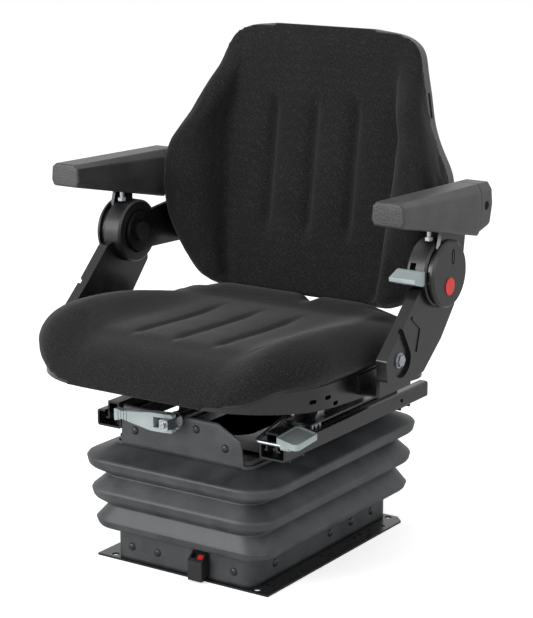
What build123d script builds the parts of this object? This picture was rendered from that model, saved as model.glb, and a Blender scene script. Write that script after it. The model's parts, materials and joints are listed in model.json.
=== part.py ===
from build123d import *
from math import asin, atan2, cos, degrees, hypot, radians, sin, sqrt
import os

# A reach beyond the whole seat, for cutting solids
far_out = 500.0

# Base plate
base_width = 304.0
base_depth = 386.0
base_thickness = 3.0
base_corner_clip = 14.0
base_bolt_edge = (25.0, 11.0)
base_bolt_hole_r = 5.5
flange_hole_r = 3.5
flange_hole_edge = 20.5
flange_hole_ys = (-160.0, -19.0, 73.0, 90.0, 114.0)
outer_hole_edge = 11.0
outer_hole_ys = (-86.0, 143.0)

# Scissor linkage: one end of each arm on a fixed pivot at the back, the other on a roller
arm_length = 330.0
arm_width = 24.0
arm_thickness = 6.0
arm_gap = 4.0
outer_arm_x = 84.0
pivot_y = 154.0
pivot_shaft_r = 8.0
pivot_tube_r = 12.0
pivot_ear_r = 15.0
cross_tube_r = 9.0
cross_tube_at = 0.78
lightening_r = 5.5
roller_shaft_r = 6.0
roller_r = 11.0
roller_width = 15.0
shaft_head_r = 8.0
shaft_head_length = 2.0
centre_bolt_r = 6.0
centre_head_r = 10.0
centre_head_height = 4.0
running_fit = 0.05
free_pivot_gap = 1.6
side_gap = 0.5

# Roller tracks
track_wall = 3.0
track_roller_gap = 1.5
track_inner_x = 90.0
track_length = 70.0
track_front_y = -181.5

# Upper suspension frame
travel = 80.0
frame_sheet = 3.0
frame_top_z = 191.0
frame_flange_depth = 12.0
wing_height = 6.0
wing_half_x = 160.0
wing_spans = ((-150.0, -112.0), (158.0, 188.0))
collar_gap = 0.4
upstand_top_z = 234.0
upstand_left_x = -104.0
upstand_right_x = 60.0

# Bellows
bellows_inset = (32.0, 4.0)
bellows_wall = 2.5
bellows_corner_r = 14.0
upper_collar_z = 178.5
upper_collar_top_z = 206.0
collar_step_z = 184.0
side_panel_front_y = -30.0
side_panel_rear_y = 152.0
front_panel_top_z = 240.0
front_panel_cut_x = 63.6
front_panel_cut_z = 218.0
# Each lobe: ridge height, reach at the sides, reach at the front, valley height below it
bellows_lobes = (
    (160.0, 46.0, 36.0, 143.0),
    (111.0, 40.0, 31.0, 97.0),
    (64.0, 35.0, 22.0, 50.0),
)
ridge_band = 8.0
valley_reach = 8.0

# Push rivets in the bellows collars
rivet_head_r = 6.0
rivet_head_height = 3.0
rivet_shank_r = 3.0
lower_rivet_z = 24.0
lower_rivet_front_xs = (-90.7, -44.2, 91.3)
lower_rivet_side_ys = (-126.4, 22.6, 81.9, 141.3)
upper_rivets_front = ((-81.6, 204.0), (27.5, 224.5), (77.1, 204.6))

# Weight indicator at the foot of the bellows
indicator_x = 34.0
indicator_width = 25.0
indicator_height = 44.0
indicator_stand = 17.0
indicator_wall = 2.0
indicator_window = (20.0, 9.0)
indicator_slope = 35.0
indicator_back_depth = 9.0
arch_width = 34.0
arch_height = 52.0

# Seat rails
rail_inner_x = 122.5
rail_outer_x = 166.0
rail_height = 25.0
rail_wall = 3.0
rail_front_y = -170.0
rail_rear_y = 231.0
rail_slot_inner_x = 128.0
rail_slot_outer_x = 152.0
rail_rear_hole_y = 150.0
neck_inner_x = 130.0
neck_outer_x = 150.0
neck_wall = 2.5
neck_top_z = 232.0
foot_reach = 4.0
upper_rail_front_y = -165.0
upper_rail_rear_y = 165.0
rack_pitch = 10.0
rack_slot = 5.0
rack_teeth = 11
rack_start_y = -84.0
glide_length = 22.0
glide_ys = (-130.0, 130.0)
rail_gap = 0.5

# Seat risers and the slide latch
riser_sheet = 2.5
riser_outer_x = 169.0
riser_inner_x = 127.0
riser_front_y = -108.0
latch_y = -60.0
latch_z = 247.0
latch_shaft_r = 5.0
latch_plate_inner_x = 153.0
latch_plate_thickness = 4.0
latch_eye_r = 9.0
latch_tooth_width = 24.0
latch_reach = 16.0
latch_clearance = 0.5
bail_wire_r = 3.0
bail_eye_half = 4.5
bail_x = 123.5
bail_front_y = -181.0
bail_front_z = 222.6
bail_end_x = 178.0
paddle_corners = ((158.0, -182.0), (151.0, -116.0), (196.0, -133.0), (204.0, -201.0))
paddle_thickness = 9.0
paddle_corner_r = 7.0
paddle_rim = 3.0
paddle_dish = 1.5
paddle_grip_wall = 3.0
paddle_rail_gap = 2.0

# Seat pan
pan_half_x = 235.0
pan_front_y = -288.0
pan_rear_y = 118.0
pan_sheet = 2.0
pan_front_corner_r = 75.0
pan_rear_corner_r = 40.0
pan_rim_z = 318.0
pan_front_rim_z = 298.0
pan_floor_z = 272.9
pan_slope = 0.0595
pan_dip_length = 42.0
pan_slots = ((-196.0, 299.0), (-168.0, 300.0), (-150.0, 288.0))
pan_slot_size = (12.0, 6.0)

drain_y = -90.0
drain_pitch = 150.0
drain_r = 16.0

# Seat cushion
cushion_overhang = 6.0
cushion_front_y = -301.0
cushion_rear_y = 127.0
cushion_front_corner_r = 85.0
cushion_rear_corner_r = 50.0
cushion_gap = 0.6
bolster_front_z = 382.0
bolster_rear_z = 348.0
cushion_dish = 25.0
dish_flat_x = (60.0, 130.0)
crest_inset = 46.0
bolster_front_inset = 65.0
bolster_rear_inset = 15.0
nose_inset = 18.0
nose_drop = 22.0
under_cushion_z = 200.0
seat_channel_xs = (-70.0, 0.0, 70.0)
seat_channel_r = 7.0
seat_channel_depth = 3.5
seat_channel_span = (-215.0, 60.0)

# Recliner hub and side arms
hub_y = 50.0
hub_z = 439.0
hub_r = 49.0
hub_stand = 19.0
hub_width = 32.5
hub_chamfer = 3.0
hub_boss_r = 15.0
boss_depth = 8.0
hub_recess = 4.0
core_stand = 3.0
hub_cover_thickness = 6.5
cover_chamfer = 3.5
cover_groove = (22.0, 8.0)
cover_groove_at = (57.0, 463.0)
badge_r = 12.5
badge_thickness = 1.2
badge_at = (48.5, 421.7)
arm_foot_width = 33.0
arm_plate_thickness = 17.0
side_arm_outline = (
    (-11.0, 424.0), (-60.0, 377.0), (-100.0, 342.0), (-96.0, 311.0),
    (-37.0, 300.5), (4.0, 305.0), (53.0, 343.0), (91.0, 386.0),
)
arm_bolt_at = (-57.0, 334.0)
arm_recess_depth = 5.0
arm_recess_r = 24.0
arm_recess_tip = (-59.0, 377.0)
arm_foot_y = (-92.0, -6.0)
arm_foot_z = (286.0, 314.0)
arm_bolt_r = 6.0
arm_bolt_head_r = 9.0
arm_bolt_head_height = 4.0

# Recliner lever
lever_width = 41.0
lever_stand = 9.0
lever_front_y = -28.0
lever_z = 440.5
lever_tongue_at = (7.0, 15.0)
lever_tongue_half = 5.0
lever_tongue_depth = 10.0
lever_swing = 14.0
lever_gap = 0.6

# Armrests
stem_disc_r = 44.0
stem_thickness = 5.5
stem_gap = 0.6
stem_top_y = (38.0, 78.0)
pad_stand = 1.0
pad_width = 51.0
pad_front_y = -90.0
pad_rear_y = 158.0
pad_top_front_z = 562.0
pad_top_rear_z = 556.0
pad_bottom_front_z = 530.0
pad_bottom_rear_z = 486.0
pad_chamfer = 9.0
pad_edge_r = 4.0
pad_groove_r = 1.6
cap_seam_y = 127.0
cap_gap = 0.4
cap_hole_at = (141.0, 517.0)
cap_hole_r = 6.0
stop_screw_stand = 19.0
stop_screw_y = 34.0
stop_screw_r = 3.5
stop_screw_head_r = 6.5
stop_screw_head_height = 5.0

# Backrest, drawn upright about the hub axis and then leant back
back_lean = 8.3
panel_depth = 84.0
foam_rear_depth = 92.0
shell_rear_depth = 118.0
wing_edge_depth = 18.0
wing_straight = (20.0, 150.0)
wing_upper_slope = 0.475
wing_lower_curve = 0.0055
crease_x = 146.0
crease_slope = 0.107
wing_round = 18.0
front_overrun = 20.0
front_grid = (41, 21)
front_tolerance = 1.0
back_soft_r = 3.0
shell_edge_r = 10.0
shell_bottom = -40.0
shell_inset = 3.0
# Half outline: half width and height above the hub axis
back_outline = (
    (118.0, -76.0), (150.0, -72.0), (172.0, -53.0), (196.0, -10.0), (220.0, 30.0), (233.0, 70.0),
    (238.0, 112.0), (235.0, 133.0), (215.5, 170.0), (197.0, 210.0), (187.0, 250.0), (176.5, 290.0),
    (168.0, 315.0), (152.0, 329.0), (126.0, 337.0), (90.0, 341.0),
)
back_channel_pitch = 73.0
back_channel_span = (4.0, 238.0)
back_channel_r = 7.0
back_channel_depth = 3.5
shell_slot = (6.0, 36.0)
shell_slot_height = 232.0
shell_slot_depth = 10.0
bracket_disc_r = 32.0
bracket_thickness = 6.4
bracket_hub_gap = 0.6
bracket_flange = 4.0
bracket_flange_reach = 60.0
bracket_flange_z = (-14.0, 62.0)

# Weight adjuster
spindle_x = -6.0
spindle_z = 233.0
spindle_r = 7.0
spindle_rear_y = 120.0
hub_block_front_y = -222.0
hub_block_rear_y = -192.0
hub_block_half = 7.5
fork_pin_r = 3.0
handle_end_x = -98.0
handle_depth = 12.0
handle_root_half = 13.5
handle_waist_half = 7.0
handle_end_half = 9.5
handle_gap = 0.4
fork_depth = 22.0
collar_ring_r = 13.0
collar_ring_y = (-193.0, -189.5)
yoke_y = (90.0, 112.0)
yoke_half_x = 22.0

# Springs, damper and stops
spring_x = 40.0
spring_r = 12.0
spring_wire_r = 3.0
spring_turns = 7
spring_front_y = -118.0
spring_rear_y = 108.0
hook_gap = 0.3
anchor_lug_y = 116.0
lug_thickness = 6.0
damper_base_y = -112.0
damper_base_z = 22.0
damper_top_y = 112.0
damper_top_z = 166.0
damper_body_r = 15.0
damper_body_length = 165.0
damper_rod_r = 5.0
damper_eye_r = 12.0
damper_eye_width = 16.0
damper_neck_r = 7.0
damper_neck_length = 16.0
damper_stroke_room = 45.0
damper_pin_r = 5.0
damper_free_gap = 3.2
damper_ear_thickness = 4.0
bump_r = 11.0
bump_top_r = 6.0
bump_y = -150.0

# Places worked out from the sizes above
bellows_half_x = base_width / 2 - bellows_inset[0]
bellows_half_y = base_depth / 2 - bellows_inset[1]
indicator_front_y = -bellows_half_y - indicator_stand
base_bolt_spacing_x = base_width - 2 * base_bolt_edge[0]
base_bolt_spacing_y = base_depth - 2 * base_bolt_edge[1]
flange_hole_x = base_width / 2 - flange_hole_edge
outer_hole_x = base_width / 2 - outer_hole_edge
pivot_z = base_thickness + track_wall + track_roller_gap + roller_r
upper_pivot_z = frame_top_z - frame_sheet - track_wall - track_roller_gap - roller_r
arm_rise = upper_pivot_z - pivot_z
arm_run = sqrt(arm_length**2 - arm_rise**2)
roller_y = pivot_y - arm_run
centre_y = pivot_y - arm_run / 2
centre_z = pivot_z + arm_rise / 2
inner_arm_x = outer_arm_x - arm_thickness - arm_gap
roller_x = outer_arm_x + side_gap
track_height = 2 * (track_wall + track_roller_gap + roller_r)
track_outer_x = roller_x + roller_width + shaft_head_length + 2 * side_gap + track_wall
rail_z = frame_top_z + frame_sheet
rail_top_z = rail_z + rail_height
cushion_half_x = pan_half_x + cushion_overhang
hub_inner_x = pan_half_x + hub_stand
hub_outer_x = hub_inner_x + hub_width
hub_cover_x = hub_outer_x + 2 * stem_gap + stem_thickness + hub_cover_thickness
arm_plate_inner_x = pan_half_x + arm_foot_width
arm_plate_outer_x = arm_plate_inner_x + arm_plate_thickness
bracket_outer_x = hub_inner_x - bracket_hub_gap
bracket_inner_x = bracket_outer_x - bracket_thickness
lever_inner_x = hub_inner_x - lever_stand
lever_outer_x = lever_inner_x + lever_width
lever_tongue_x = (hub_inner_x + lever_tongue_at[0], hub_inner_x + lever_tongue_at[1])
pad_inner_x = hub_inner_x + pad_stand
pad_outer_x = pad_inner_x + pad_width
stop_screw_x = hub_inner_x + stop_screw_stand


def block(x0, x1, y0, y1, z0, z1):
    """Rectangular bar between two corners."""
    return Pos((x0 + x1) / 2, (y0 + y1) / 2, (z0 + z1) / 2) * Box(x1 - x0, y1 - y0, z1 - z0)


def rod(start, end, radius):
    """Round bar from one point to another."""
    a, b = Vector(*start), Vector(*end)
    return extrude(Plane(origin=a, z_dir=b - a) * Circle(radius), (b - a).length)


def side_plane(x):
    """Plane across the seat at x, with Y to its right and Z up."""
    return Plane(origin=(x, 0, 0), x_dir=(0, 1, 0), z_dir=(1, 0, 0))


def side_plate(sketch, x0, x1):
    """A shape drawn in Y and Z, x1 - x0 thick."""
    return extrude(side_plane(x0) * sketch, x1 - x0, dir=(1, 0, 0))


def front_plate(sketch, y0, y1):
    """A shape drawn in X and Z, y1 - y0 thick."""
    plane = Plane(origin=(0, y0, 0), x_dir=(-1, 0, 0), z_dir=(0, 1, 0))
    return extrude(plane * mirror(sketch, Plane.YZ), y1 - y0, dir=(0, 1, 0))


def slab(sketch, z0, height):
    """A shape drawn in X and Y, raised by its height from z0."""
    return extrude(Pos(0, 0, z0) * sketch, height, dir=(0, 0, 1))


def outline(points, radius=0.0):
    """Closed polygon with every corner rounded to the radius."""
    face = Polygon(*points, align=None)
    return fillet(face.vertices(), radius) if radius else face


def both_sides(part):
    """The part and its mirror image on the other side of the seat."""
    return part + mirror(part, Plane.YZ)


def other_side(part):
    """The mirror image alone."""
    return mirror(part, Plane.YZ)


# Suspension base

def base_plate():
    """Flat pressed plate with clipped rear corners and two rows of holes in its side flanges."""
    face = Rectangle(base_width, base_depth)
    rear = face.vertices().sort_by(Axis.Y)[-2:]
    face = chamfer(rear, base_corner_clip)
    holes = GridLocations(base_bolt_spacing_x, base_bolt_spacing_y, 2, 2) * Circle(base_bolt_hole_r)
    for side in (-1, 1):
        holes += [Pos(side * flange_hole_x, y) * Circle(flange_hole_r) for y in flange_hole_ys]
        holes += [Pos(side * outer_hole_x, y) * Circle(flange_hole_r) for y in outer_hole_ys]
    return extrude(face - holes, base_thickness)


def roller_track(bottom_z):
    """Channel that guides a roller, open towards the middle of the seat."""
    rear_y = track_front_y + track_length
    outer = block(track_inner_x, track_outer_x, track_front_y, rear_y, bottom_z, bottom_z + track_height)
    inner = block(
        track_inner_x - 1, track_outer_x - track_wall, track_front_y - 1, rear_y + 1,
        bottom_z + track_wall, bottom_z + track_height - track_wall,
    )
    return both_sides(outer - inner)


def pivot_bracket(foot_z, axis_z):
    """Pair of angle brackets that hold a pivot shaft."""
    inner_x = outer_arm_x + side_gap
    outer_x = inner_x + track_wall
    way = 1 if axis_z > foot_z else -1
    ear = Pos(pivot_y, axis_z) * Circle(pivot_ear_r)
    ear += Pos(pivot_y, (axis_z + foot_z) / 2) * Rectangle(2 * pivot_ear_r, abs(axis_z - foot_z))
    ear -= Pos(pivot_y, axis_z) * Circle(pivot_shaft_r)
    bracket = side_plate(ear, inner_x, outer_x)
    low, high = sorted((foot_z, foot_z + way * track_wall))
    foot = block(
        inner_x, track_outer_x, pivot_y - pivot_ear_r, pivot_y + pivot_ear_r, low, high,
    )
    return both_sides(bracket + foot)


def pivot_shaft(z):
    """Shaft across both brackets."""
    end = outer_arm_x + side_gap + track_wall
    return rod((-end, pivot_y, z), (end, pivot_y, z), pivot_shaft_r)


def bump_stops():
    """Rubber buffers on the lower tracks that meet the upper tracks at full drop."""
    top = base_thickness + track_height
    height = (frame_top_z - frame_sheet - track_height - travel) - top - side_gap
    stop = Pos(track_inner_x + bump_r, bump_y, top + height / 2) * Cone(bump_r, bump_top_r, height)
    return both_sides(stop)


def spring_anchor():
    """Lug on the base that holds both springs' rear ends."""
    top = pivot_z + 3 * spring_wire_r
    half = spring_x + spring_r + 3 * spring_wire_r
    lug = Pos(0, (base_thickness + top) / 2) * Rectangle(2 * half, top - base_thickness)
    face = fillet(lug.vertices().sort_by(Axis.Y)[-2:], spring_wire_r)
    face -= [
        Pos(side * (spring_x + spring_r), pivot_z) * Circle(spring_wire_r + running_fit) for side in (-1, 1)
    ]
    return front_plate(face, anchor_lug_y, anchor_lug_y + lug_thickness)


def link(start, end, x0, x1):
    """Straight pressed arm with round ends and two lightening slots."""
    length = hypot(end[0] - start[0], end[1] - start[1])
    angle = degrees(atan2(end[1] - start[1], end[0] - start[0]))
    middle = Pos((start[0] + end[0]) / 2, (start[1] + end[1]) / 2) * Rot(0, 0, angle)
    shape = middle * SlotCenterToCenter(length, arm_width)
    for side in (-1, 1):
        shape -= middle * Pos(side * length / 4, 0) * SlotCenterToCenter(length / 6, 2 * lightening_r)
    return side_plate(shape, x0, x1)


def scissor_outer():
    """Welded frame of two arms, with a pivot tube low at the back and a cross tube near the front."""
    low, high = (pivot_y, pivot_z), (roller_y, upper_pivot_z)
    inner_x = outer_arm_x - arm_thickness
    arm = link(low, high, inner_x, outer_arm_x)
    arm += rod(
        (inner_x - arm_gap + side_gap / 2, centre_y, centre_z), (inner_x, centre_y, centre_z),
        centre_head_r,
    )
    frame = both_sides(arm)
    frame += rod((-outer_arm_x, pivot_y, pivot_z), (outer_arm_x, pivot_y, pivot_z), pivot_tube_r)
    tube_y = pivot_y - cross_tube_at * arm_run
    tube_z = pivot_z + cross_tube_at * arm_rise
    frame += rod((-inner_x, tube_y, tube_z), (inner_x, tube_y, tube_z), cross_tube_r)
    reach = outer_arm_x + 1
    frame -= rod((-reach, pivot_y, pivot_z), (reach, pivot_y, pivot_z), pivot_shaft_r + running_fit)
    frame -= rod((-reach, roller_y, upper_pivot_z), (reach, roller_y, upper_pivot_z), roller_shaft_r)
    frame -= rod((-reach, centre_y, centre_z), (reach, centre_y, centre_z), centre_bolt_r)
    return frame


def scissor_inner():
    """Narrower welded frame, crossing the outer one, with its pivot tube high at the back."""
    low, high = (roller_y, pivot_z), (pivot_y, upper_pivot_z)
    arm = link(low, high, inner_arm_x - arm_thickness, inner_arm_x)
    frame = both_sides(arm)
    frame += rod(
        (-inner_arm_x, pivot_y, upper_pivot_z), (inner_arm_x, pivot_y, upper_pivot_z), pivot_tube_r,
    )
    reach = inner_arm_x + 1
    free_r = pivot_shaft_r + free_pivot_gap
    frame -= rod((-reach, pivot_y, upper_pivot_z), (reach, pivot_y, upper_pivot_z), free_r)
    frame -= rod((-reach, roller_y, pivot_z), (reach, roller_y, pivot_z), roller_shaft_r)
    frame -= rod((-reach, centre_y, centre_z), (reach, centre_y, centre_z), centre_bolt_r + running_fit)
    return frame


def centre_bolts():
    """Bolts with a head outside and a nut inside, where the two frames cross."""
    nut_x = inner_arm_x - arm_thickness - side_gap
    bolt = rod((nut_x, centre_y, centre_z), (outer_arm_x, centre_y, centre_z), centre_bolt_r)
    bolt += rod(
        (outer_arm_x, centre_y, centre_z), (
            outer_arm_x + centre_head_height, centre_y, centre_z,
        ), centre_head_r,
    )
    nut = side_plane(
        nut_x - centre_head_height
    ) * Pos(centre_y, centre_z) * RegularPolygon(centre_head_r, 6)
    bolt += extrude(nut, centre_head_height)
    return both_sides(bolt)


def roller_shaft(z):
    """Shaft with turned heads that keep the rollers on."""
    end = roller_x + roller_width + side_gap
    shaft = rod((-end, roller_y, z), (end, roller_y, z), roller_shaft_r)
    head = rod((end, roller_y, z), (end + shaft_head_length, roller_y, z), shaft_head_r)
    return shaft + both_sides(head)


def rollers(z):
    """Pair of nylon rollers."""
    roller = rod((roller_x, roller_y, z), (roller_x + roller_width, roller_y, z), roller_r)
    roller -= rod(
        (roller_x - 1, roller_y, z), (
            roller_x + roller_width + 1, roller_y, z,
        ), roller_shaft_r + running_fit,
    )
    return both_sides(roller)


def extension_springs():
    """Pair of coil springs hooked on the lower roller shaft and held in the lug at the back."""
    length = spring_rear_y - spring_front_y
    path = Helix(length / spring_turns, length, spring_r)
    coil = sweep(Plane(origin=path @ 0, z_dir=path % 0) * Circle(spring_wire_r), path, is_frenet=True)
    coil = Pos(spring_x, spring_front_y, pivot_z) * Rot(-90, 0, 0) * coil
    wire_x = spring_x + spring_r
    ring_r = roller_shaft_r + hook_gap + spring_wire_r
    hook = Plane(origin=(wire_x, roller_y, pivot_z), z_dir=(1, 0, 0)) * Torus(ring_r, spring_wire_r)
    front = rod((wire_x, roller_y + ring_r, pivot_z), (wire_x, spring_front_y + 1, pivot_z), spring_wire_r)
    lug_rear = anchor_lug_y + lug_thickness
    rear = rod((wire_x, spring_rear_y - 1, pivot_z), (wire_x, lug_rear + 3, pivot_z), spring_wire_r)
    head = rod((wire_x, lug_rear + hook_gap, pivot_z), (wire_x, lug_rear + 4, pivot_z), 1.5 * spring_wire_r)
    return both_sides(coil + hook + front + rear + head)


def damper_axis():
    """Unit vector from the damper's lower eye to its upper eye, in Y and Z, and their distance."""
    dy, dz = damper_top_y - damper_base_y, damper_top_z - damper_base_z
    length = hypot(dy, dz)
    return dy / length, dz / length, length


def damper_point(distance):
    """Point on the damper's axis."""
    uy, uz, _ = damper_axis()
    return (0, damper_base_y + uy * distance, damper_base_z + uz * distance)


def damper_eye(y, z, bore_r):
    """Short tube across the damper's end."""
    half = damper_eye_width / 2
    return (
        rod((-half, y, z), (half, y, z), damper_eye_r),
        rod((-half - 1, y, z), (half + 1, y, z), bore_r),
    )


def damper_body():
    """Closed tube with an eye at its foot and a bore for the rod at its head."""
    eye, bore = damper_eye(damper_base_y, damper_base_z, damper_pin_r + running_fit)
    neck = rod(damper_point(damper_eye_r - 2), damper_point(damper_neck_length + 1), damper_neck_r)
    tube = rod(damper_point(damper_neck_length), damper_point(damper_body_length), damper_body_r)
    rod_bore = rod(
        damper_point(damper_neck_length + damper_rod_r), damper_point(damper_body_length + 1),
        damper_rod_r + running_fit,
    )
    return eye + neck + tube - rod_bore - bore


def damper_rod():
    """Polished rod with the upper eye."""
    length = damper_axis()[2]
    eye, bore = damper_eye(damper_top_y, damper_top_z, damper_pin_r + damper_free_gap)
    start = damper_neck_length + damper_rod_r + damper_stroke_room
    return eye + rod(damper_point(start), damper_point(length - damper_eye_r + 2), damper_rod_r) - bore


def damper_mount(y, z, foot_z):
    """Clevis of two ears and a pin for a damper eye."""
    inner = damper_eye_width / 2 + side_gap
    ear = Pos(y, z) * Circle(damper_eye_r) + Pos(y, (z + foot_z) / 2) * Rectangle(
        2 * damper_eye_r, abs(z - foot_z),
    )
    ears = both_sides(side_plate(ear, inner, inner + damper_ear_thickness))
    end = inner + damper_ear_thickness
    return ears + rod((-end, y, z), (end, y, z), damper_pin_r)


def base_brackets():
    """Everything welded on the base plate besides the tracks."""
    clevis = damper_mount(damper_base_y, damper_base_z, base_thickness)
    return pivot_bracket(base_thickness, pivot_z) + spring_anchor() + clevis


def frame_brackets():
    """Everything welded under the upper tray besides the tracks."""
    under = frame_top_z - frame_sheet
    return pivot_bracket(under, upper_pivot_z) + damper_mount(damper_top_y, damper_top_z, under)


# Bellows

def bellows_levels():
    """Heights with the reach beyond the collar at the sides and at the front and back."""
    levels = [(upper_collar_top_z, 0.0, 0.0), (upper_collar_z, 0.0, 0.0)]
    for ridge_z, reach_x, reach_y, valley_z in bellows_lobes:
        levels.append((ridge_z + ridge_band / 2, reach_x - 1, reach_y - 1))
        levels.append((ridge_z - ridge_band / 2, reach_x, reach_y))
        last = valley_z == bellows_lobes[-1][3]
        reach = 0.0 if last else valley_reach
        levels.append((valley_z, reach, reach))
    levels.append((base_thickness, 0.0, 0.0))
    return levels


def bellows_stack(inset):
    """Rounded rectangles through every level, joined by straight walls."""
    sections = []
    for z, reach_x, reach_y in bellows_levels():
        half_x = bellows_half_x + reach_x - inset
        half_y = bellows_half_y + reach_y - inset
        corner = bellows_corner_r + reach_y - inset
        sections.append(Pos(0, 0, z) * RectangleRounded(2 * half_x, 2 * half_y, corner))
    return loft(sections, ruled=True)


def bellows():
    """Moulded rubber boot with three lobes, a high front panel and an arch for the indicator."""
    boot = bellows_stack(0.0) - bellows_stack(bellows_wall)
    far = bellows_half_y + 5
    for side in (-1, 1):
        wall = sorted((side * (bellows_half_x - 5), side * (bellows_half_x + 5)))
        boot -= block(*wall, -far, side_panel_front_y, collar_step_z, upper_collar_top_z + 1)
        boot -= block(*wall, side_panel_rear_y, far, collar_step_z, upper_collar_top_z + 1)
    boot -= block(
        -bellows_half_x - 5, bellows_half_x + 5, bellows_half_y - 40, far, collar_step_z,
        upper_collar_top_z + 1,
    )
    front = -bellows_half_y
    panel = outline((
        (-bellows_half_x + bellows_corner_r, collar_step_z - 3),
        (-bellows_half_x + bellows_corner_r, front_panel_top_z),
        (front_panel_cut_x, front_panel_top_z),
        (bellows_half_x - bellows_corner_r, front_panel_cut_z),
        (bellows_half_x - bellows_corner_r, collar_step_z - 3),
    ))
    boot += front_plate(panel, front, front + bellows_wall)
    boot -= rod(
        (spindle_x, front - 1, spindle_z), (spindle_x, front + 5, spindle_z), spindle_r + collar_gap,
    )
    boot -= [rivet_hole(*place) for place in lower_rivet_places() + upper_rivet_places()]
    arch = Pos(
        indicator_x, base_thickness + arch_height / 2 - 5,
    ) * RectangleRounded(arch_width, arch_height + 10, 12)
    return boot - front_plate(arch, front - 60, front + 10)


def rivet(x, y, z, out):
    """Domed push rivet whose head stands on the face towards out."""
    plane = Plane(origin=(x, y, z), z_dir=out)
    dome = Sphere(rivet_head_r) & (Pos(0, 0, rivet_head_r) * Box(*(3 * (2 * rivet_head_r,))))
    head = scale(dome, (1, 1, rivet_head_height / rivet_head_r))
    shank = Pos(0, 0, -bellows_wall / 2) * Cylinder(rivet_shank_r, bellows_wall)
    return plane * (head + shank)


def rivet_hole(x, y, z, out):
    """Hole for a rivet's shank."""
    return Plane(origin=(x, y, z), z_dir=out) * Cylinder(rivet_shank_r, 3 * bellows_wall)


def lower_rivet_places():
    """Position and outward direction of each rivet in the lower collar."""
    places = [(x, -bellows_half_y, lower_rivet_z, (0, -1, 0)) for x in lower_rivet_front_xs]
    places += [(x, bellows_half_y, lower_rivet_z, (0, 1, 0)) for x in (-80.0, 0.0, 80.0)]
    for side in (-1, 1):
        places += [(side * bellows_half_x, y, lower_rivet_z, (side, 0, 0)) for y in lower_rivet_side_ys]
    return places


def lower_rivets():
    """Rivets that hold the lower collar."""
    return Part() + [rivet(*place) for place in lower_rivet_places()]


def upper_rivet_places():
    """Position and outward direction of each rivet in the upper collar."""
    return [(x, -bellows_half_y, z, (0, -1, 0)) for x, z in upper_rivets_front]


def upper_rivets():
    """Rivets that hold the upper collar's front panel."""
    return Part() + [rivet(*place) for place in upper_rivet_places()]


# Weight indicator

def indicator_profile(wall):
    """Side view of the indicator housing: an upright box whose top slopes down to the front."""
    rear_y = -bellows_half_y - side_gap
    slope_depth = rear_y - indicator_front_y - 2 * wall
    drop = slope_depth * sin(radians(indicator_slope)) / cos(radians(indicator_slope))
    top = indicator_height - wall
    return Polygon(
        (indicator_front_y + wall, base_thickness + wall), (rear_y - wall, base_thickness + wall),
        (rear_y - wall, top), (indicator_front_y + wall, top - drop), align=None,
    )


def indicator_housing():
    """Moulded box with a sloping window frame and a rounded back that enters the arch in the bellows."""
    half = indicator_width / 2
    box = side_plate(indicator_profile(0.0), indicator_x - half, indicator_x + half)
    front_face = box.faces().sort_by(Axis.Y)[0]
    box = fillet(front_face.edges().filter_by(Axis.Z), indicator_wall)
    slope = box.faces().sort_by(Axis.Z)[-1]
    window = Plane(slope) * Rectangle(indicator_window[1], indicator_window[0])
    if abs(Plane(slope).x_dir.X) > 0.5:
        window = Plane(slope) * Rectangle(*indicator_window)
    box -= extrude(window, -3 * indicator_wall)
    back = Pos(indicator_x, base_thickness + arch_height / 2 - indicator_wall) * RectangleRounded(
        arch_width - 3, arch_height - 2 * indicator_wall, 10)
    start = -bellows_half_y - side_gap
    return box + front_plate(back, start, start + indicator_back_depth)


def indicator_flag():
    """Red marker that slides across the window."""
    half = indicator_width / 2
    box = side_plate(indicator_profile(0.0), indicator_x - half, indicator_x + half)
    slope = box.faces().sort_by(Axis.Z)[-1]
    plane = Plane(origin=slope.center(), x_dir=(1, 0, 0), z_dir=slope.normal_at())
    size = (indicator_window[0] / 2 - side_gap, indicator_window[1] - 2 * side_gap)
    flag = plane * Pos(indicator_window[0] / 4, 0, -indicator_wall) * Rectangle(*size)
    return extrude(flag, -1.5 * indicator_wall)


# Upper suspension frame

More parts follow.
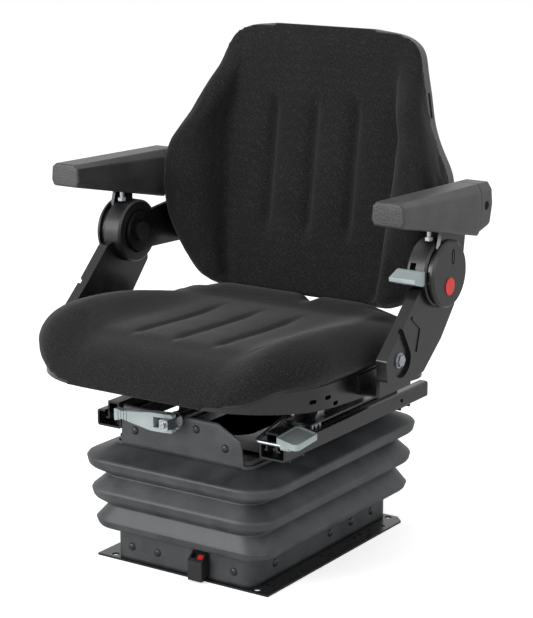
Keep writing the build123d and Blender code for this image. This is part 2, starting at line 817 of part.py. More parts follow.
def upper_frame():
    """Top tray of the suspension with turned-down sides, wings under the rails and a front upstand."""
    half_x = bellows_half_x - bellows_wall - collar_gap
    half_y = bellows_half_y - bellows_wall - collar_gap
    low = frame_top_z - frame_sheet
    corner = bellows_corner_r - bellows_wall - collar_gap
    outer = extrude(Pos(0, 0, low) * RectangleRounded(2 * half_x, 2 * half_y, corner), frame_sheet)
    skirt = RectangleRounded(2 * half_x, 2 * half_y, corner)
    skirt -= RectangleRounded(2 * (half_x - frame_sheet), 2 * (half_y - frame_sheet), corner - frame_sheet)
    frame = outer + extrude(Pos(0, 0, low - frame_flange_depth) * skirt, frame_flange_depth)
    frame -= extrude(Pos(0, 0, low - 1) * RectangleRounded(90, 190, 30), frame_sheet + 2)
    for y0, y1 in wing_spans:
        wing = Pos(0, (y0 + y1) / 2, rail_z - wing_height) * Box(
            2 * wing_half_x, y1 - y0, wing_height, align=(Align.CENTER, Align.CENTER, Align.MIN))
        hollow = Pos(0, (y0 + y1) / 2, rail_z - wing_height - 1) * Box(
            2 * wing_half_x + 2, y1 - y0 - 2 * frame_sheet, wing_height - frame_sheet + 1,
            align=(Align.CENTER, Align.CENTER, Align.MIN))
        frame += wing - hollow
    top = outline((
        (upstand_left_x, frame_top_z - 1), (upstand_left_x, upstand_top_z),
        (upstand_right_x, upstand_top_z), (
            upstand_right_x + 24, frame_top_z + 22,
        ), (upstand_right_x + 40, frame_top_z - 1),
    ))
    upstand = front_plate(top, -half_y, -half_y + frame_sheet)
    spindle_hole = rod(
        (spindle_x, -half_y - 1, spindle_z), (spindle_x, -half_y + 14, spindle_z), spindle_r + side_gap,
    )
    fold = block(
        upstand_left_x, upstand_right_x, -half_y, -half_y + 12, upstand_top_z - frame_sheet, upstand_top_z,
    )
    return frame + upstand + fold - spindle_hole


def upper_tracks():
    """Roller channels under the tray."""
    return roller_track(frame_top_z - frame_sheet - track_height)


def spindle_bearing():
    """Rear bracket that carries the far end of the adjusting spindle."""
    y0 = spindle_rear_y - lug_thickness
    top = spindle_z + spindle_r + 8
    face = outline((
        (
            spindle_x - 32, frame_top_z,
        ), (spindle_x - 14, top), (spindle_x + 14, top), (spindle_x + 32, frame_top_z),
    ))
    face -= Pos(spindle_x, spindle_z) * Circle(spindle_r + running_fit)
    return front_plate(face, y0, spindle_rear_y)


def spring_yoke():
    """Nut block that travels along the spindle and reaches down through the tray to the springs."""
    y0, y1 = yoke_y
    yoke = block(
        spindle_x - yoke_half_x, spindle_x + yoke_half_x, y0, y1, frame_top_z + 1,
        spindle_z + spindle_r + 6,
    )
    edges = yoke.edges().filter_by(Axis.Y)
    yoke = fillet(edges, 6)
    return yoke - rod(
        (spindle_x, y0 - 1, spindle_z), (spindle_x, y1 + 1, spindle_z), spindle_r + running_fit,
    )


# Weight adjuster

def spindle():
    """Adjusting spindle with its front collar ring and the square nose that the lever folds on."""
    shaft = rod(
        (spindle_x, hub_block_rear_y, spindle_z), (spindle_x, spindle_rear_y + 6, spindle_z), spindle_r,
    )
    ring = rod(
        (spindle_x, collar_ring_y[0], spindle_z), (spindle_x, collar_ring_y[1], spindle_z), collar_ring_r,
    )
    return shaft + ring + spindle_nose()


def spindle_nose():
    """Square block on the spindle with a vertical pin hole and a hexagon at its face."""
    half = hub_block_half
    face = RectangleRounded(2 * half, 2 * half, 2)
    body = front_plate(Pos(spindle_x, spindle_z) * face, hub_block_front_y, hub_block_rear_y)
    nose = RegularPolygon(half * 0.62, 6)
    body += front_plate(Pos(spindle_x, spindle_z) * nose, hub_block_front_y - 4, hub_block_front_y)
    pin_y = fork_pin_y()
    return body - rod((spindle_x, pin_y, spindle_z - 20), (spindle_x, pin_y, spindle_z + 20), fork_pin_r)


def fork_pin_y():
    """Distance of the lever's fold axis behind the front."""
    return (hub_block_front_y + hub_block_rear_y) / 2


def fork_pin():
    """Vertical pin through the lever's fork."""
    pin_y = fork_pin_y()
    low = spindle_z - handle_root_half
    return rod((spindle_x, pin_y, low), (spindle_x, pin_y, spindle_z + handle_root_half), fork_pin_r)


def weight_handle():
    """Folding lever: a flared grip that narrows and then forks round the hub block."""
    pin_y = fork_pin_y()
    side = outline((
        (handle_end_x, spindle_z - handle_end_half), (handle_end_x + 14, spindle_z - handle_waist_half + 2),
        (
            spindle_x - fork_depth - 4, spindle_z - handle_root_half,
        ), (spindle_x + 8, spindle_z - handle_root_half),
        (spindle_x + 8, spindle_z + handle_root_half), (
            spindle_x - fork_depth - 4, spindle_z + handle_root_half,
        ),
        (handle_end_x + 14, spindle_z + handle_waist_half), (handle_end_x, spindle_z + handle_end_half),
    ), 2.5)
    bar = front_plate(side, pin_y - handle_depth, pin_y + handle_depth)
    plan_shape = outline((
        (handle_end_x - 1, pin_y - handle_depth + 2), (spindle_x - 34, pin_y - handle_depth + 2),
        (spindle_x - 4, pin_y - handle_depth + 4), (spindle_x + 8, pin_y - 5), (spindle_x + 8, pin_y + 5),
        (spindle_x - 4, pin_y + handle_depth - 4), (spindle_x - 34, pin_y), (handle_end_x - 1, pin_y),
    ), 2.0)
    lever = bar & slab(plan_shape, spindle_z - 30, 60)
    gap = hub_block_half + handle_gap
    lever -= block(
        spindle_x - fork_depth, spindle_x + fork_depth, pin_y - fork_depth, pin_y + fork_depth,
        spindle_z - gap, spindle_z + gap,
    )
    for step in range(4):
        groove_x = handle_end_x + 8 + 5 * step
        start = (groove_x, pin_y - handle_depth + 2, spindle_z - 20)
        lever -= rod(start, (groove_x, pin_y - handle_depth + 2, spindle_z + 20), 1.1)
    return lever - rod(
        (spindle_x, pin_y, spindle_z - 20), (spindle_x, pin_y, spindle_z + 20), fork_pin_r + running_fit,
    )


# Seat rails

def lower_rail():
    """Rolled C channel, slotted along the top, with rack slots in the outer lip and an oval hole behind."""
    profile = Pos((rail_inner_x + rail_outer_x) / 2, rail_z + rail_height / 2) * RectangleRounded(
        rail_outer_x - rail_inner_x, rail_height, 4)
    inner = Pos((rail_inner_x + rail_outer_x) / 2, rail_z + rail_height / 2) * RectangleRounded(
        rail_outer_x - rail_inner_x - 2 * rail_wall, rail_height - 2 * rail_wall, 1.5)
    slot = Pos((rail_slot_inner_x + rail_slot_outer_x) / 2, rail_top_z - rail_wall / 2) * Rectangle(
        rail_slot_outer_x - rail_slot_inner_x, 2 * rail_wall)
    rail = front_plate(profile - inner - slot, rail_front_y, rail_rear_y)
    for tooth in range(rack_teeth):
        y = rack_start_y + tooth * rack_pitch
        rail -= block(
            rail_slot_outer_x - 1, rail_slot_outer_x + rail_wall + 2, y, y + rack_slot,
            rail_top_z - rail_wall - 1, rail_top_z + 1,
        )
    oval = Pos(rail_rear_hole_y, rail_z + rail_height / 2) * SlotCenterToCenter(4, 6)
    return rail - side_plate(oval, rail_outer_x - rail_wall - 1, rail_outer_x + 1)


def upper_rail():
    """Hat section that runs in the lower rail, with turned-out feet below its lips."""
    foot_low = rail_z + rail_wall + 8
    foot_high = foot_low + neck_wall
    web = Pos((neck_inner_x + neck_outer_x) / 2, (foot_low + neck_top_z) / 2) * Rectangle(
        neck_outer_x - neck_inner_x, neck_top_z - foot_low)
    bore = Pos((neck_inner_x + neck_outer_x) / 2, (foot_low + neck_top_z) / 2 - neck_wall) * Rectangle(
        neck_outer_x - neck_inner_x - 2 * neck_wall, neck_top_z - foot_low)
    feet = Pos((neck_inner_x + neck_outer_x) / 2, (foot_low + foot_high) / 2) * Rectangle(
        neck_outer_x - neck_inner_x + 2 * foot_reach, neck_wall)
    return front_plate(web + feet - bore, upper_rail_front_y, upper_rail_rear_y)


def rail_glides():
    """Plastic shoes under the feet of both upper rails."""
    foot_low = rail_z + rail_wall + 8
    shoes = Part()
    for y in glide_ys:
        for x0 in (neck_inner_x - foot_reach, neck_outer_x - neck_wall):
            x1 = x0 + foot_reach + neck_wall
            shoes += block(
                x0, x1, y - glide_length / 2, y + glide_length / 2, rail_z + rail_wall + rail_gap,
                foot_low,
            )
    return both_sides(shoes)


# Risers and slide latch

def floor_z(y):
    """Height of the pan's underside, which falls towards the back."""
    return pan_floor_z - pan_slope * y


def riser():
    """Pressed bracket between an upper rail and the sloping pan."""
    front, rear = riser_front_y, pan_rear_y - pan_rear_corner_r
    web = outline((
        (front, neck_top_z), (rear, neck_top_z), (rear, floor_z(rear)), (front, floor_z(front)),
    ))
    middle = (front + rear) / 2
    web -= Pos(middle + 40, neck_top_z + 22) * SlotCenterToCenter(50, 16)
    web -= Pos(latch_y, latch_z) * Circle(latch_shaft_r + running_fit)
    web_x = (neck_inner_x + neck_outer_x) / 2
    bracket = side_plate(web, web_x, web_x + riser_sheet)
    for low in (True, False):
        z0 = (neck_top_z, neck_top_z) if low else (
            floor_z(front) - riser_sheet, floor_z(rear) - riser_sheet,
        )
        flange = outline(
            ((front, z0[0]), (rear, z0[1]), (rear, z0[1] + riser_sheet), (front, z0[0] + riser_sheet))
        )
        bracket += side_plate(flange, riser_inner_x, riser_outer_x)
    slot = latch_tooth_width / 2 + 3
    return bracket - block(
        latch_plate_inner_x - 1, latch_plate_inner_x + latch_plate_thickness + 1,
        latch_y - latch_reach - slot, latch_y + slot,
        neck_top_z - 1, neck_top_z + riser_sheet + 1,
    )


def latch_shaft():
    """Cross shaft with a toothed latch plate at each end."""
    end = latch_plate_inner_x + latch_plate_thickness
    shaft = rod((-end, latch_y, latch_z), (end, latch_y, latch_z), latch_shaft_r)
    plate = Pos(latch_y, latch_z) * Circle(latch_eye_r)
    low = rail_top_z + latch_clearance
    half = latch_tooth_width / 2
    mid = latch_y - latch_reach
    plate += outline((
        (mid - half, low), (mid - half, low + half / 2), (
            latch_y - latch_eye_r / 2, latch_z + latch_eye_r / 2,
        ),
        (latch_y + latch_eye_r, latch_z), (mid + half, low + half / 2), (mid + half, low),
    ))
    for tooth in (-0.5, 0.5):
        plate -= Pos(mid + tooth * rack_pitch, low) * Rectangle(rack_slot, 2 * rack_slot)
    return shaft + both_sides(side_plate(plate, latch_plate_inner_x, end))


def slide_bail():
    """Bent wire from the latch shaft forwards along the rail and out to the paddle."""
    path = FilletPolyline(
        (bail_x, latch_y - latch_eye_r + 1, latch_z - 1), (bail_x, bail_front_y, bail_front_z),
        (bail_end_x, bail_front_y, bail_front_z), radius=8,
    )
    wire = sweep(Plane(origin=path @ 0, z_dir=path % 0) * Circle(bail_wire_r), path)
    left, right = bail_x - bail_eye_half, bail_x + bail_eye_half
    eye = rod((left, latch_y, latch_z), (right, latch_y, latch_z), latch_eye_r)
    bore = rod((left - 1, latch_y, latch_z), (right + 1, latch_y, latch_z), latch_shaft_r)
    return wire + eye - bore


def slide_paddle():
    """Moulded finger plate with a raised rim, gripped on the wire."""
    plan_shape = outline(paddle_corners, paddle_corner_r)
    low = bail_front_z + 2
    plate = slab(plan_shape, low, paddle_thickness)
    plate -= slab(offset(plan_shape, -paddle_rim), low + paddle_thickness - paddle_dish, paddle_dish + 1)
    grip_x = rail_outer_x + paddle_rail_gap
    grip = rod(
        (grip_x, bail_front_y, bail_front_z), (bail_end_x + paddle_grip_wall, bail_front_y, bail_front_z),
        bail_wire_r + paddle_grip_wall,
    )
    wire_hole = rod(
        (bail_x, bail_front_y, bail_front_z), (bail_end_x, bail_front_y, bail_front_z), bail_wire_r,
    )
    return plate + grip - wire_hole


# Seat pan and cushion

def rounded_plan(half_x, front_y, rear_y, front_r, rear_r):
    """Plan view of the pan or cushion with wide front corners."""
    face = Pos(0, (front_y + rear_y) / 2) * Rectangle(2 * half_x, rear_y - front_y)
    face = fillet(face.vertices().sort_by(Axis.Y)[:2], front_r)
    return fillet(face.vertices().sort_by(Axis.Y)[-2:], rear_r)


def above_floor(lift, top_z):
    """Wedge that lies above the pan's sloping floor."""
    far = 400.0
    wedge = outline(((-far, floor_z(-far) + lift), (far, floor_z(far) + lift), (far, top_z), (-far, top_z)))
    return side_plate(wedge, -far, far)


def rim_line(lift):
    """Side view of everything below the pan's rim, which dips in a quarter wave at the front."""
    rear_y, far_z = 400.0, 200.0
    dip_y = pan_front_y + pan_dip_length
    line = Spline(
        (pan_front_y - 20, pan_front_rim_z + lift), (pan_front_y + 4, pan_front_rim_z + 1 + lift),
        (dip_y, pan_rim_z + lift), tangents=((1, 0), (1, 0)),
    )
    edges = line + Polyline(
        (dip_y, pan_rim_z + lift), (rear_y, pan_rim_z + lift), (rear_y, far_z), (pan_front_y - 20, far_z),
        (pan_front_y - 20, pan_front_rim_z + lift),
    )
    return make_face(edges)


def seat_pan():
    """Pressed steel tray with a sloping floor, a rim that dips at the front and slotted sides."""
    outer = extrude(
        rounded_plan(pan_half_x, pan_front_y, pan_rear_y, pan_front_corner_r, pan_rear_corner_r), 400,
    )
    inner = extrude(
        rounded_plan(
            pan_half_x - pan_sheet, pan_front_y + pan_sheet, pan_rear_y - pan_sheet,
            pan_front_corner_r - pan_sheet, pan_rear_corner_r - pan_sheet,
        ), 400,
    )
    below_rim = side_plate(rim_line(0.0), -far_out, far_out)
    pan = (outer & above_floor(0.0, 400) & below_rim) - (inner & above_floor(pan_sheet, 420))
    drains = [
        Pos(0, drain_y, 275) * place * Cylinder(drain_r, 150)
        for place in GridLocations(drain_pitch, drain_pitch, 2, 2)
    ]
    for y, z in pan_slots:
        hole = Pos(y, z) * SlotOverall(*pan_slot_size)
        pan -= side_plate(hole, pan_half_x - 10, pan_half_x + 10)
        pan -= side_plate(hole, -pan_half_x - 10, -pan_half_x + 10)
    return pan - drains


def seat_channel(x):
    """Shallow sewn channel that runs front to back along the falling seat surface."""
    y0, y1 = seat_channel_span
    z0, z1 = (seat_centre_z(y) + seat_channel_r - seat_channel_depth for y in (y0, y1))
    run = rod((x, y0, z0), (x, y1, z1), seat_channel_r)
    return run + Pos(x, y0, z0) * Sphere(seat_channel_r) + Pos(x, y1, z1) * Sphere(seat_channel_r)


def bolster_z(y):
    """Height of the side bolsters, which fall evenly towards the back."""
    front_y, rear_y = cushion_front_y + bolster_front_inset, cushion_rear_y - bolster_rear_inset
    return bolster_front_z + (bolster_rear_z - bolster_front_z) * (y - front_y) / (rear_y - front_y)


def seat_centre_z(y):
    """Height of the seat surface between the bolsters."""
    return bolster_z(y) - cushion_dish


def seat_cushion():
    """Moulded foam cushion: raised bolsters, a dished middle with three channels and a rolled front."""
    plan = rounded_plan(
        cushion_half_x, cushion_front_y, cushion_rear_y, cushion_front_corner_r, cushion_rear_corner_r,
    )
    upper = extrude(plan, far_out) - side_plate(rim_line(cushion_gap), -far_out, far_out)
    inset = pan_sheet + cushion_gap
    lower = extrude(
        rounded_plan(
            pan_half_x - inset, pan_front_y + inset, pan_rear_y - inset,
            pan_front_corner_r - inset, pan_rear_corner_r - inset,
        ), far_out,
    ) & above_floor(inset, 330)
    front, rear = cushion_front_y, cushion_rear_y
    stations = (front + bolster_front_inset, (front + rear) / 2, rear - bolster_rear_inset)
    nose = (front + nose_inset, bolster_z(stations[0]) - nose_drop)
    side_top = Spline(
        (front - 1, pan_front_rim_z + 20), nose, *((y, bolster_z(y)) for y in stations), (rear + 1, pan_rim_z + 10),
    )
    side_low = Polyline(
        (rear + 1, pan_rim_z + 10), (rear + 1, under_cushion_z), (front - 1, under_cushion_z),
        (front - 1, pan_front_rim_z + 20),
    )
    side_view = side_plate(make_face(side_top + side_low), -far_out, far_out)
    far = cushion_half_x + 1
    across = []
    for y in (front - 5, rear + 5):
        top = bolster_z(y)
        low_top = top - cushion_dish
        crest = Spline(
            (-far, top - 34), (-far + 14, top - 10), (-far + crest_inset, top),
            (-dish_flat_x[1], low_top), (-dish_flat_x[0], low_top),
            (dish_flat_x[0], low_top), (dish_flat_x[1], low_top),
            (far - crest_inset, top), (far - 14, top - 10), (far, top - 34),
        )
        base = Polyline((far, top - 34), (far, under_cushion_z), (-far, under_cushion_z), (-far, top - 34))
        plane = Plane(origin=(0, y, 0), x_dir=(-1, 0, 0), z_dir=(0, 1, 0))
        across.append(plane * make_face(crest + base))
    crown = loft(across, ruled=True)
    cushion = (upper + lower) & side_view & crown
    for x in seat_channel_xs:
        cushion -= seat_channel(x)
    return cushion


# Side arms and recliner hubs

def hub_cylinder(x0, x1, radius):
    """Disc about the recliner axis."""
    return rod((x0, hub_y, hub_z), (x1, hub_y, hub_z), radius)


def side_arm():
    """Pressed arm from the pan up to the hub, with a teardrop recess for its bolt and a folded foot."""
    face = outline(side_arm_outline + ((hub_y + 38, hub_z), (hub_y, hub_z)), 6)
    plate = side_plate(face, arm_plate_inner_x, arm_plate_outer_x)
    plate -= hub_cylinder(arm_plate_inner_x - 1, arm_plate_outer_x + 1, hub_r + running_fit)
    tip = Pos(*arm_recess_tip)
    recess = make_hull((Pos(*arm_bolt_at) * Circle(arm_recess_r)).edges() + (tip * Circle(3)).edges())
    plate -= side_plate(recess, arm_plate_outer_x - arm_recess_depth, arm_plate_outer_x + 1)
    ridge = outline(((-30, 392), (-4, 371), (-14, 338), (-19, 338), (-10, 370), (-34, 389)), 2)
    plate += side_plate(ridge, arm_plate_outer_x, arm_plate_outer_x + 1.5)
    y0, y1 = arm_foot_y
    z0, z1 = arm_foot_z
    foot = block(pan_half_x, arm_plate_inner_x + 2, y0, y1, z0, z1)
    foot -= block(pan_half_x + riser_sheet, arm_plate_inner_x - 3, y0 - 1, y1 + 1, z0 + riser_sheet, z1 + 1)
    hole = rod((arm_plate_inner_x - 1, *arm_bolt_at), (arm_plate_outer_x + 1, *arm_bolt_at), arm_bolt_r)
    return plate + foot - hole


def side_arm_bolts():
    """Flanged bolts in the arms' recesses."""
    seat_x = arm_plate_outer_x - arm_recess_depth
    shank = rod((arm_plate_inner_x, *arm_bolt_at), (seat_x, *arm_bolt_at), arm_bolt_r)
    flange = rod((seat_x, *arm_bolt_at), (seat_x + 1.5, *arm_bolt_at), arm_bolt_head_r + 2)
    head = extrude(
        side_plane(seat_x + 1.5) * Pos(*arm_bolt_at) * RegularPolygon(arm_bolt_head_r, 6),
        arm_bolt_head_height,
    )
    return both_sides(shank + flange + head)


def hub_body(with_slot):
    """Recliner housing, a chamfered drum with the core that the backrest bracket turns on.

    The right one has an arc slot for the lever.
    """
    drum = hub_cylinder(hub_inner_x, hub_outer_x, hub_r)
    drum = chamfer(drum.edges().filter_by(GeomType.CIRCLE), hub_chamfer)
    drum -= hub_cylinder(hub_inner_x - 1, hub_inner_x + hub_recess, bracket_disc_r + 2)
    drum -= hub_cylinder(hub_outer_x - boss_depth, hub_outer_x + 1, hub_boss_r)
    drum += hub_cylinder(
        bracket_inner_x - core_stand, hub_inner_x + hub_recess + 1, hub_boss_r - running_fit,
    )
    if with_slot:
        x0, x1 = lever_tongue_x
        ring = hub_cylinder(x0 - lever_gap, x1 + lever_gap, hub_r + 1)
        ring -= hub_cylinder(x0 - 1, x1 + 1, hub_r - lever_tongue_depth - 3)
        rise = hub_r * sin(radians(lever_swing))
        low, high = lever_z - lever_tongue_half - 2, lever_z + lever_tongue_half + rise + 2
        drum -= ring & block(x0 - 2, x1 + 2, hub_y - hub_r - 2, hub_y, low, high)
    return drum


def hub_cover():
    """Moulded cover disc with a bevelled rim, a round-ended groove and a boss that the armrest turns on."""
    x0 = hub_cover_x - hub_cover_thickness
    cover = hub_cylinder(x0, hub_cover_x, hub_r)
    rim = cover.faces().sort_by(Axis.X)[-1].edges()
    cover = chamfer(rim, cover_chamfer)
    cover += hub_cylinder(hub_outer_x - boss_depth, x0, hub_boss_r)
    groove = Pos(*cover_groove_at) * Rot(0, 0, 90) * SlotOverall(*cover_groove)
    inner = Pos(*cover_groove_at) * Rot(0, 0, 90) * SlotOverall(cover_groove[0] - 5, cover_groove[1] - 5)
    cover -= side_plate(groove - inner, hub_cover_x - 1.5, hub_cover_x + 1)
    return cover


def hub_badge():
    """Plain round disc set on the right cover."""
    return side_plate(Pos(*badge_at) * Circle(badge_r), hub_cover_x, hub_cover_x + badge_thickness)


def recliner_lever():
    """Wedge-shaped finger lever with a tongue that enters the hub."""
    reach_y = hub_y - hub_r - lever_gap
    face = outline((
        (lever_front_y, lever_z - 4), (reach_y - 6, lever_z - 11), (reach_y, lever_z - 10),
        (reach_y, lever_z + 10), (lever_front_y + 22, lever_z + 10), (lever_front_y, lever_z + 2),
    ), 2)
    wedge = side_plate(face, lever_inner_x, lever_outer_x)
    x0, x1 = lever_tongue_x
    tongue = block(
        x0, x1, reach_y - 4, hub_y - hub_r + lever_tongue_depth, lever_z - lever_tongue_half,
        lever_z + lever_tongue_half,
    )
    return wedge + tongue


# Armrests

def pad_line(y, front_z, rear_z):
    """Height of the armrest's top or bottom edge."""
    return front_z + (rear_z - front_z) * (y - pad_front_y) / (pad_rear_y - pad_front_y)


def pad_bottom(y):
    return pad_line(y, pad_bottom_front_z, pad_bottom_rear_z)


def pad_top(y):
    return pad_line(y, pad_top_front_z, pad_top_rear_z)


def armrest_stem():
    """Pressed arm: a disc on the hub's boss, an upright and a flange turned in under the pad."""
    x0 = hub_outer_x + stem_gap
    x1 = x0 + stem_thickness
    y0, y1 = stem_top_y
    upright = outline((
        (hub_y - 26, hub_z + 22), (y0, pad_bottom(y0)), (y1, pad_bottom(y1)), (hub_y + 30, hub_z + 18),
    ))
    stem = hub_cylinder(x0, x1, stem_disc_r) + side_plate(upright, x0, x1)
    flange = outline((
        (y0, pad_bottom(y0)), (y1, pad_bottom(y1)),
        (y1, pad_bottom(y1) - stem_thickness), (y0, pad_bottom(y0) - stem_thickness),
    ))
    stem += side_plate(flange, pad_inner_x + 8, x1)
    boss_hole = hub_cylinder(x0 - 1, x1 + 1, hub_boss_r + running_fit)
    lug_z = pad_bottom(stop_screw_y) - stem_thickness
    lug = outline((
        (stop_screw_y - 9, pad_bottom(stop_screw_y - 9)), (y0 + 1, pad_bottom(y0 + 1)),
        (y0 + 1, pad_bottom(y0 + 1) - stem_thickness), (
            stop_screw_y - 9, pad_bottom(stop_screw_y - 9) - stem_thickness,
        ),
    ))
    stem += side_plate(lug, pad_inner_x + 8, stop_screw_x + 10)
    hole = rod(
        (stop_screw_x, stop_screw_y, lug_z - 20), (stop_screw_x, stop_screw_y, lug_z + 20), stop_screw_r,
    )
    return stem - boss_hole - hole


def armrest_pad():
    """Long moulded pad, bevelled along its top edges, with a groove down its outer side."""
    y0, y1 = pad_front_y, cap_seam_y
    face = outline(((y0, pad_bottom(y0)), (y1, pad_bottom(y1)), (y1, pad_top(y1)), (y0, pad_top(y0))))
    pad = side_plate(face, pad_inner_x, pad_outer_x)
    along = [e for e in pad.edges().filter_by(GeomType.LINE) if e.length > 100]
    top_edges = sorted(along, key=lambda e: e.center().Z)[-2:]
    pad = chamfer(top_edges, pad_chamfer)
    front = pad.faces().sort_by(Axis.Y)[0]
    pad = fillet(front.edges(), pad_edge_r)
    mid0, mid1 = (pad_line(y, pad_top_front_z - 18, pad_bottom_rear_z + 40) for y in (y0 - 1, y1 + 1))
    pad -= rod((pad_outer_x, y0 - 1, mid0), (pad_outer_x, y1 + 1, mid1), pad_groove_r)
    hole_top = pad_bottom(stop_screw_y) + 8
    return pad - rod(
        (stop_screw_x, stop_screw_y, 480), (stop_screw_x, stop_screw_y, hole_top), stop_screw_r + side_gap,
    )


def armrest_cap():
    """Separate end cap with a round finger hole on its outer side."""
    y0, y1 = cap_seam_y + cap_gap, pad_rear_y
    face = outline(((y0, pad_bottom(y0)), (y1, pad_bottom(y1)), (y1, pad_top(y1)), (y0, pad_top(y0))))
    cap = side_plate(face, pad_inner_x, pad_outer_x)
    along = [
        e for e in cap.edges().filter_by(GeomType.LINE).filter_by(Axis.X, reverse=True) if abs(e.tangent_at(0).Y) > 0.7
    ]
    top_edges = sorted(along, key=lambda e: e.center().Z)[-2:]
    cap = chamfer(top_edges, pad_chamfer)
    rear = cap.faces().sort_by(Axis.Y)[-1]
    cap = fillet(rear.edges(), pad_edge_r)
    hole = Pos(*cap_hole_at) * Circle(cap_hole_r)
    return cap - side_plate(hole, pad_outer_x - 4, pad_outer_x + 1)


def stop_screw():
    """Set screw that stops the armrest against the hub, with its head below the lug."""
    lug_low = pad_bottom(stop_screw_y) - stem_thickness
    base_z = hub_z + sqrt(hub_r**2 - (hub_y - stop_screw_y - stop_screw_head_r)**2) + side_gap
    screw = rod(
        (stop_screw_x, stop_screw_y, base_z), (
            stop_screw_x, stop_screw_y, pad_bottom(stop_screw_y) + 6,
        ), stop_screw_r,
    )
    head = Plane(origin=(stop_screw_x, stop_screw_y, base_z)) * RegularPolygon(stop_screw_head_r, 6)
    return screw + extrude(head, min(stop_screw_head_height, lug_low - base_z - 2))


# Backrest, drawn upright with the hub axis at the origin

def lean(part):
    """Leans a backrest piece back and sets it on the hub axis."""
    return Pos(0, hub_y, hub_z) * Rot(-back_lean, 0, 0) * part


def back_face(inset, bottom):
    """Backrest outline as a smooth curve through its half outline, drawn inset."""
    half = [(x - inset, z - inset) if z > 0 else (x - inset, max(z + inset, bottom)) for x, z in back_outline]
    side = Spline(*half)
    other = mirror(side, Plane.YZ)
    top = Line(half[-1], (-half[-1][0], half[-1][1]))
    low = Line(half[0], (-half[0][0], half[0][1]))
    return make_face(side + top + other + low)


def wing_edge(z):
    """Depth of the wings' front edge: straight beside the sitter, and set back above and below."""
    low, high = wing_straight
    depth = wing_edge_depth + wing_upper_slope * max(z - high, 0) + wing_lower_curve * max(low - z, 0)**2
    return min(depth, panel_depth)


def half_width(z):
    """Half width of the outline at a height."""
    points = [(0.0, 2 * back_outline[0][1])] + list(back_outline) + [(0.0, 2 * back_outline[-1][1])]
    for (x0, z0), (x1, z1) in zip(points, points[1:]):
        if z0 <= z <= z1:
            return x0 + (x1 - x0) * (z - z0) / (z1 - z0)
    return 0.0


def front_depth(x, z):
    """Depth of the foam's front: a flat panel, a crease, and a wing that rises in a smooth step."""
    crest = max(half_width(z) - wing_round, crease_x / 2)
    crease = min(crease_x + crease_slope * z, crest - 2 * wing_round)
    share = min(max((abs(x) - crease) / (crest - crease), 0.0), 1.0)
    return panel_depth - (panel_depth - wing_edge(z)) * share**2 * (3 - 2 * share)


def front_cutter():
    """Everything in front of the foam, bounded by a smooth surface through the front depths."""
    half = max(x for x, z in back_outline) + front_overrun
    bottom, top = back_outline[0][1] - front_overrun, back_outline[-1][1] + front_overrun
    columns, rows = front_grid
    grid = []
    for column in range(columns):
        x = -half + 2 * half * column / (columns - 1)
        heights = [bottom + (top - bottom) * row / (rows - 1) for row in range(rows)]
        grid.append([Vector(x, front_depth(x, z), z) for z in heights])
    surface = Face.make_surface_from_array_of_points(grid, tol=front_tolerance)
    return extrude(surface, 2 * shell_rear_depth, dir=(0, -1, 0))


def back_cushion():
    """Moulded foam back: flat panel with three upright channels between wings that come forward."""
    body = front_plate(back_face(0.0, back_outline[0][1]), 0, foam_rear_depth) - front_cutter()
    front = body.faces().filter_by(GeomType.BSPLINE).sort_by(SortBy.AREA)[-1]
    body = fillet(front.edges(), back_soft_r)
    z0, z1 = back_channel_span
    y = panel_depth - back_channel_r + back_channel_depth
    for x in (-back_channel_pitch, 0.0, back_channel_pitch):
        body -= rod((x, y, z0), (x, y, z1), back_channel_r)
        body -= Pos(x, y, z0) * Sphere(back_channel_r)
        body -= Pos(x, y, z1) * Sphere(back_channel_r)
    return lean(body)


def back_shell():
    """Moulded rear shell with rounded edges and a slot in each side."""
    shell = front_plate(
        back_face(shell_inset, shell_bottom), foam_rear_depth + cushion_gap, shell_rear_depth,
    )
    shell &= block(-far_out, far_out, -far_out, far_out, shell_bottom, far_out)
    rear = shell.faces().sort_by(Axis.Y)[-1]
    shell = fillet(rear.edges(), shell_edge_r)
    width, length = shell_slot
    start = foam_rear_depth + width
    outer_x = half_width(shell_slot_height) - shell_inset
    z0, z1 = shell_slot_height - length / 2, shell_slot_height + length / 2
    slot = block(outer_x - shell_slot_depth, outer_x + 2 * shell_slot_depth, start, start + width, z0, z1)
    return lean(shell - both_sides(slot))


def back_bracket():
    """Recliner bracket from the hub round to the back of the shell."""
    plate = Circle(bracket_disc_r)
    z0, z1 = bracket_flange_z
    rear = shell_rear_depth + bracket_flange
    edge = bracket_disc_r - bracket_flange
    plate += outline(((-bracket_flange, -edge), (rear, z0), (rear, z1), (-bracket_flange, edge)))
    plate -= Circle(hub_boss_r)
    bracket = side_plate(plate, bracket_inner_x, bracket_outer_x)
    bracket += block(
        bracket_inner_x - bracket_flange_reach, bracket_inner_x + 1, shell_rear_depth, rear, z0, z1,
    )
    return lean(bracket)


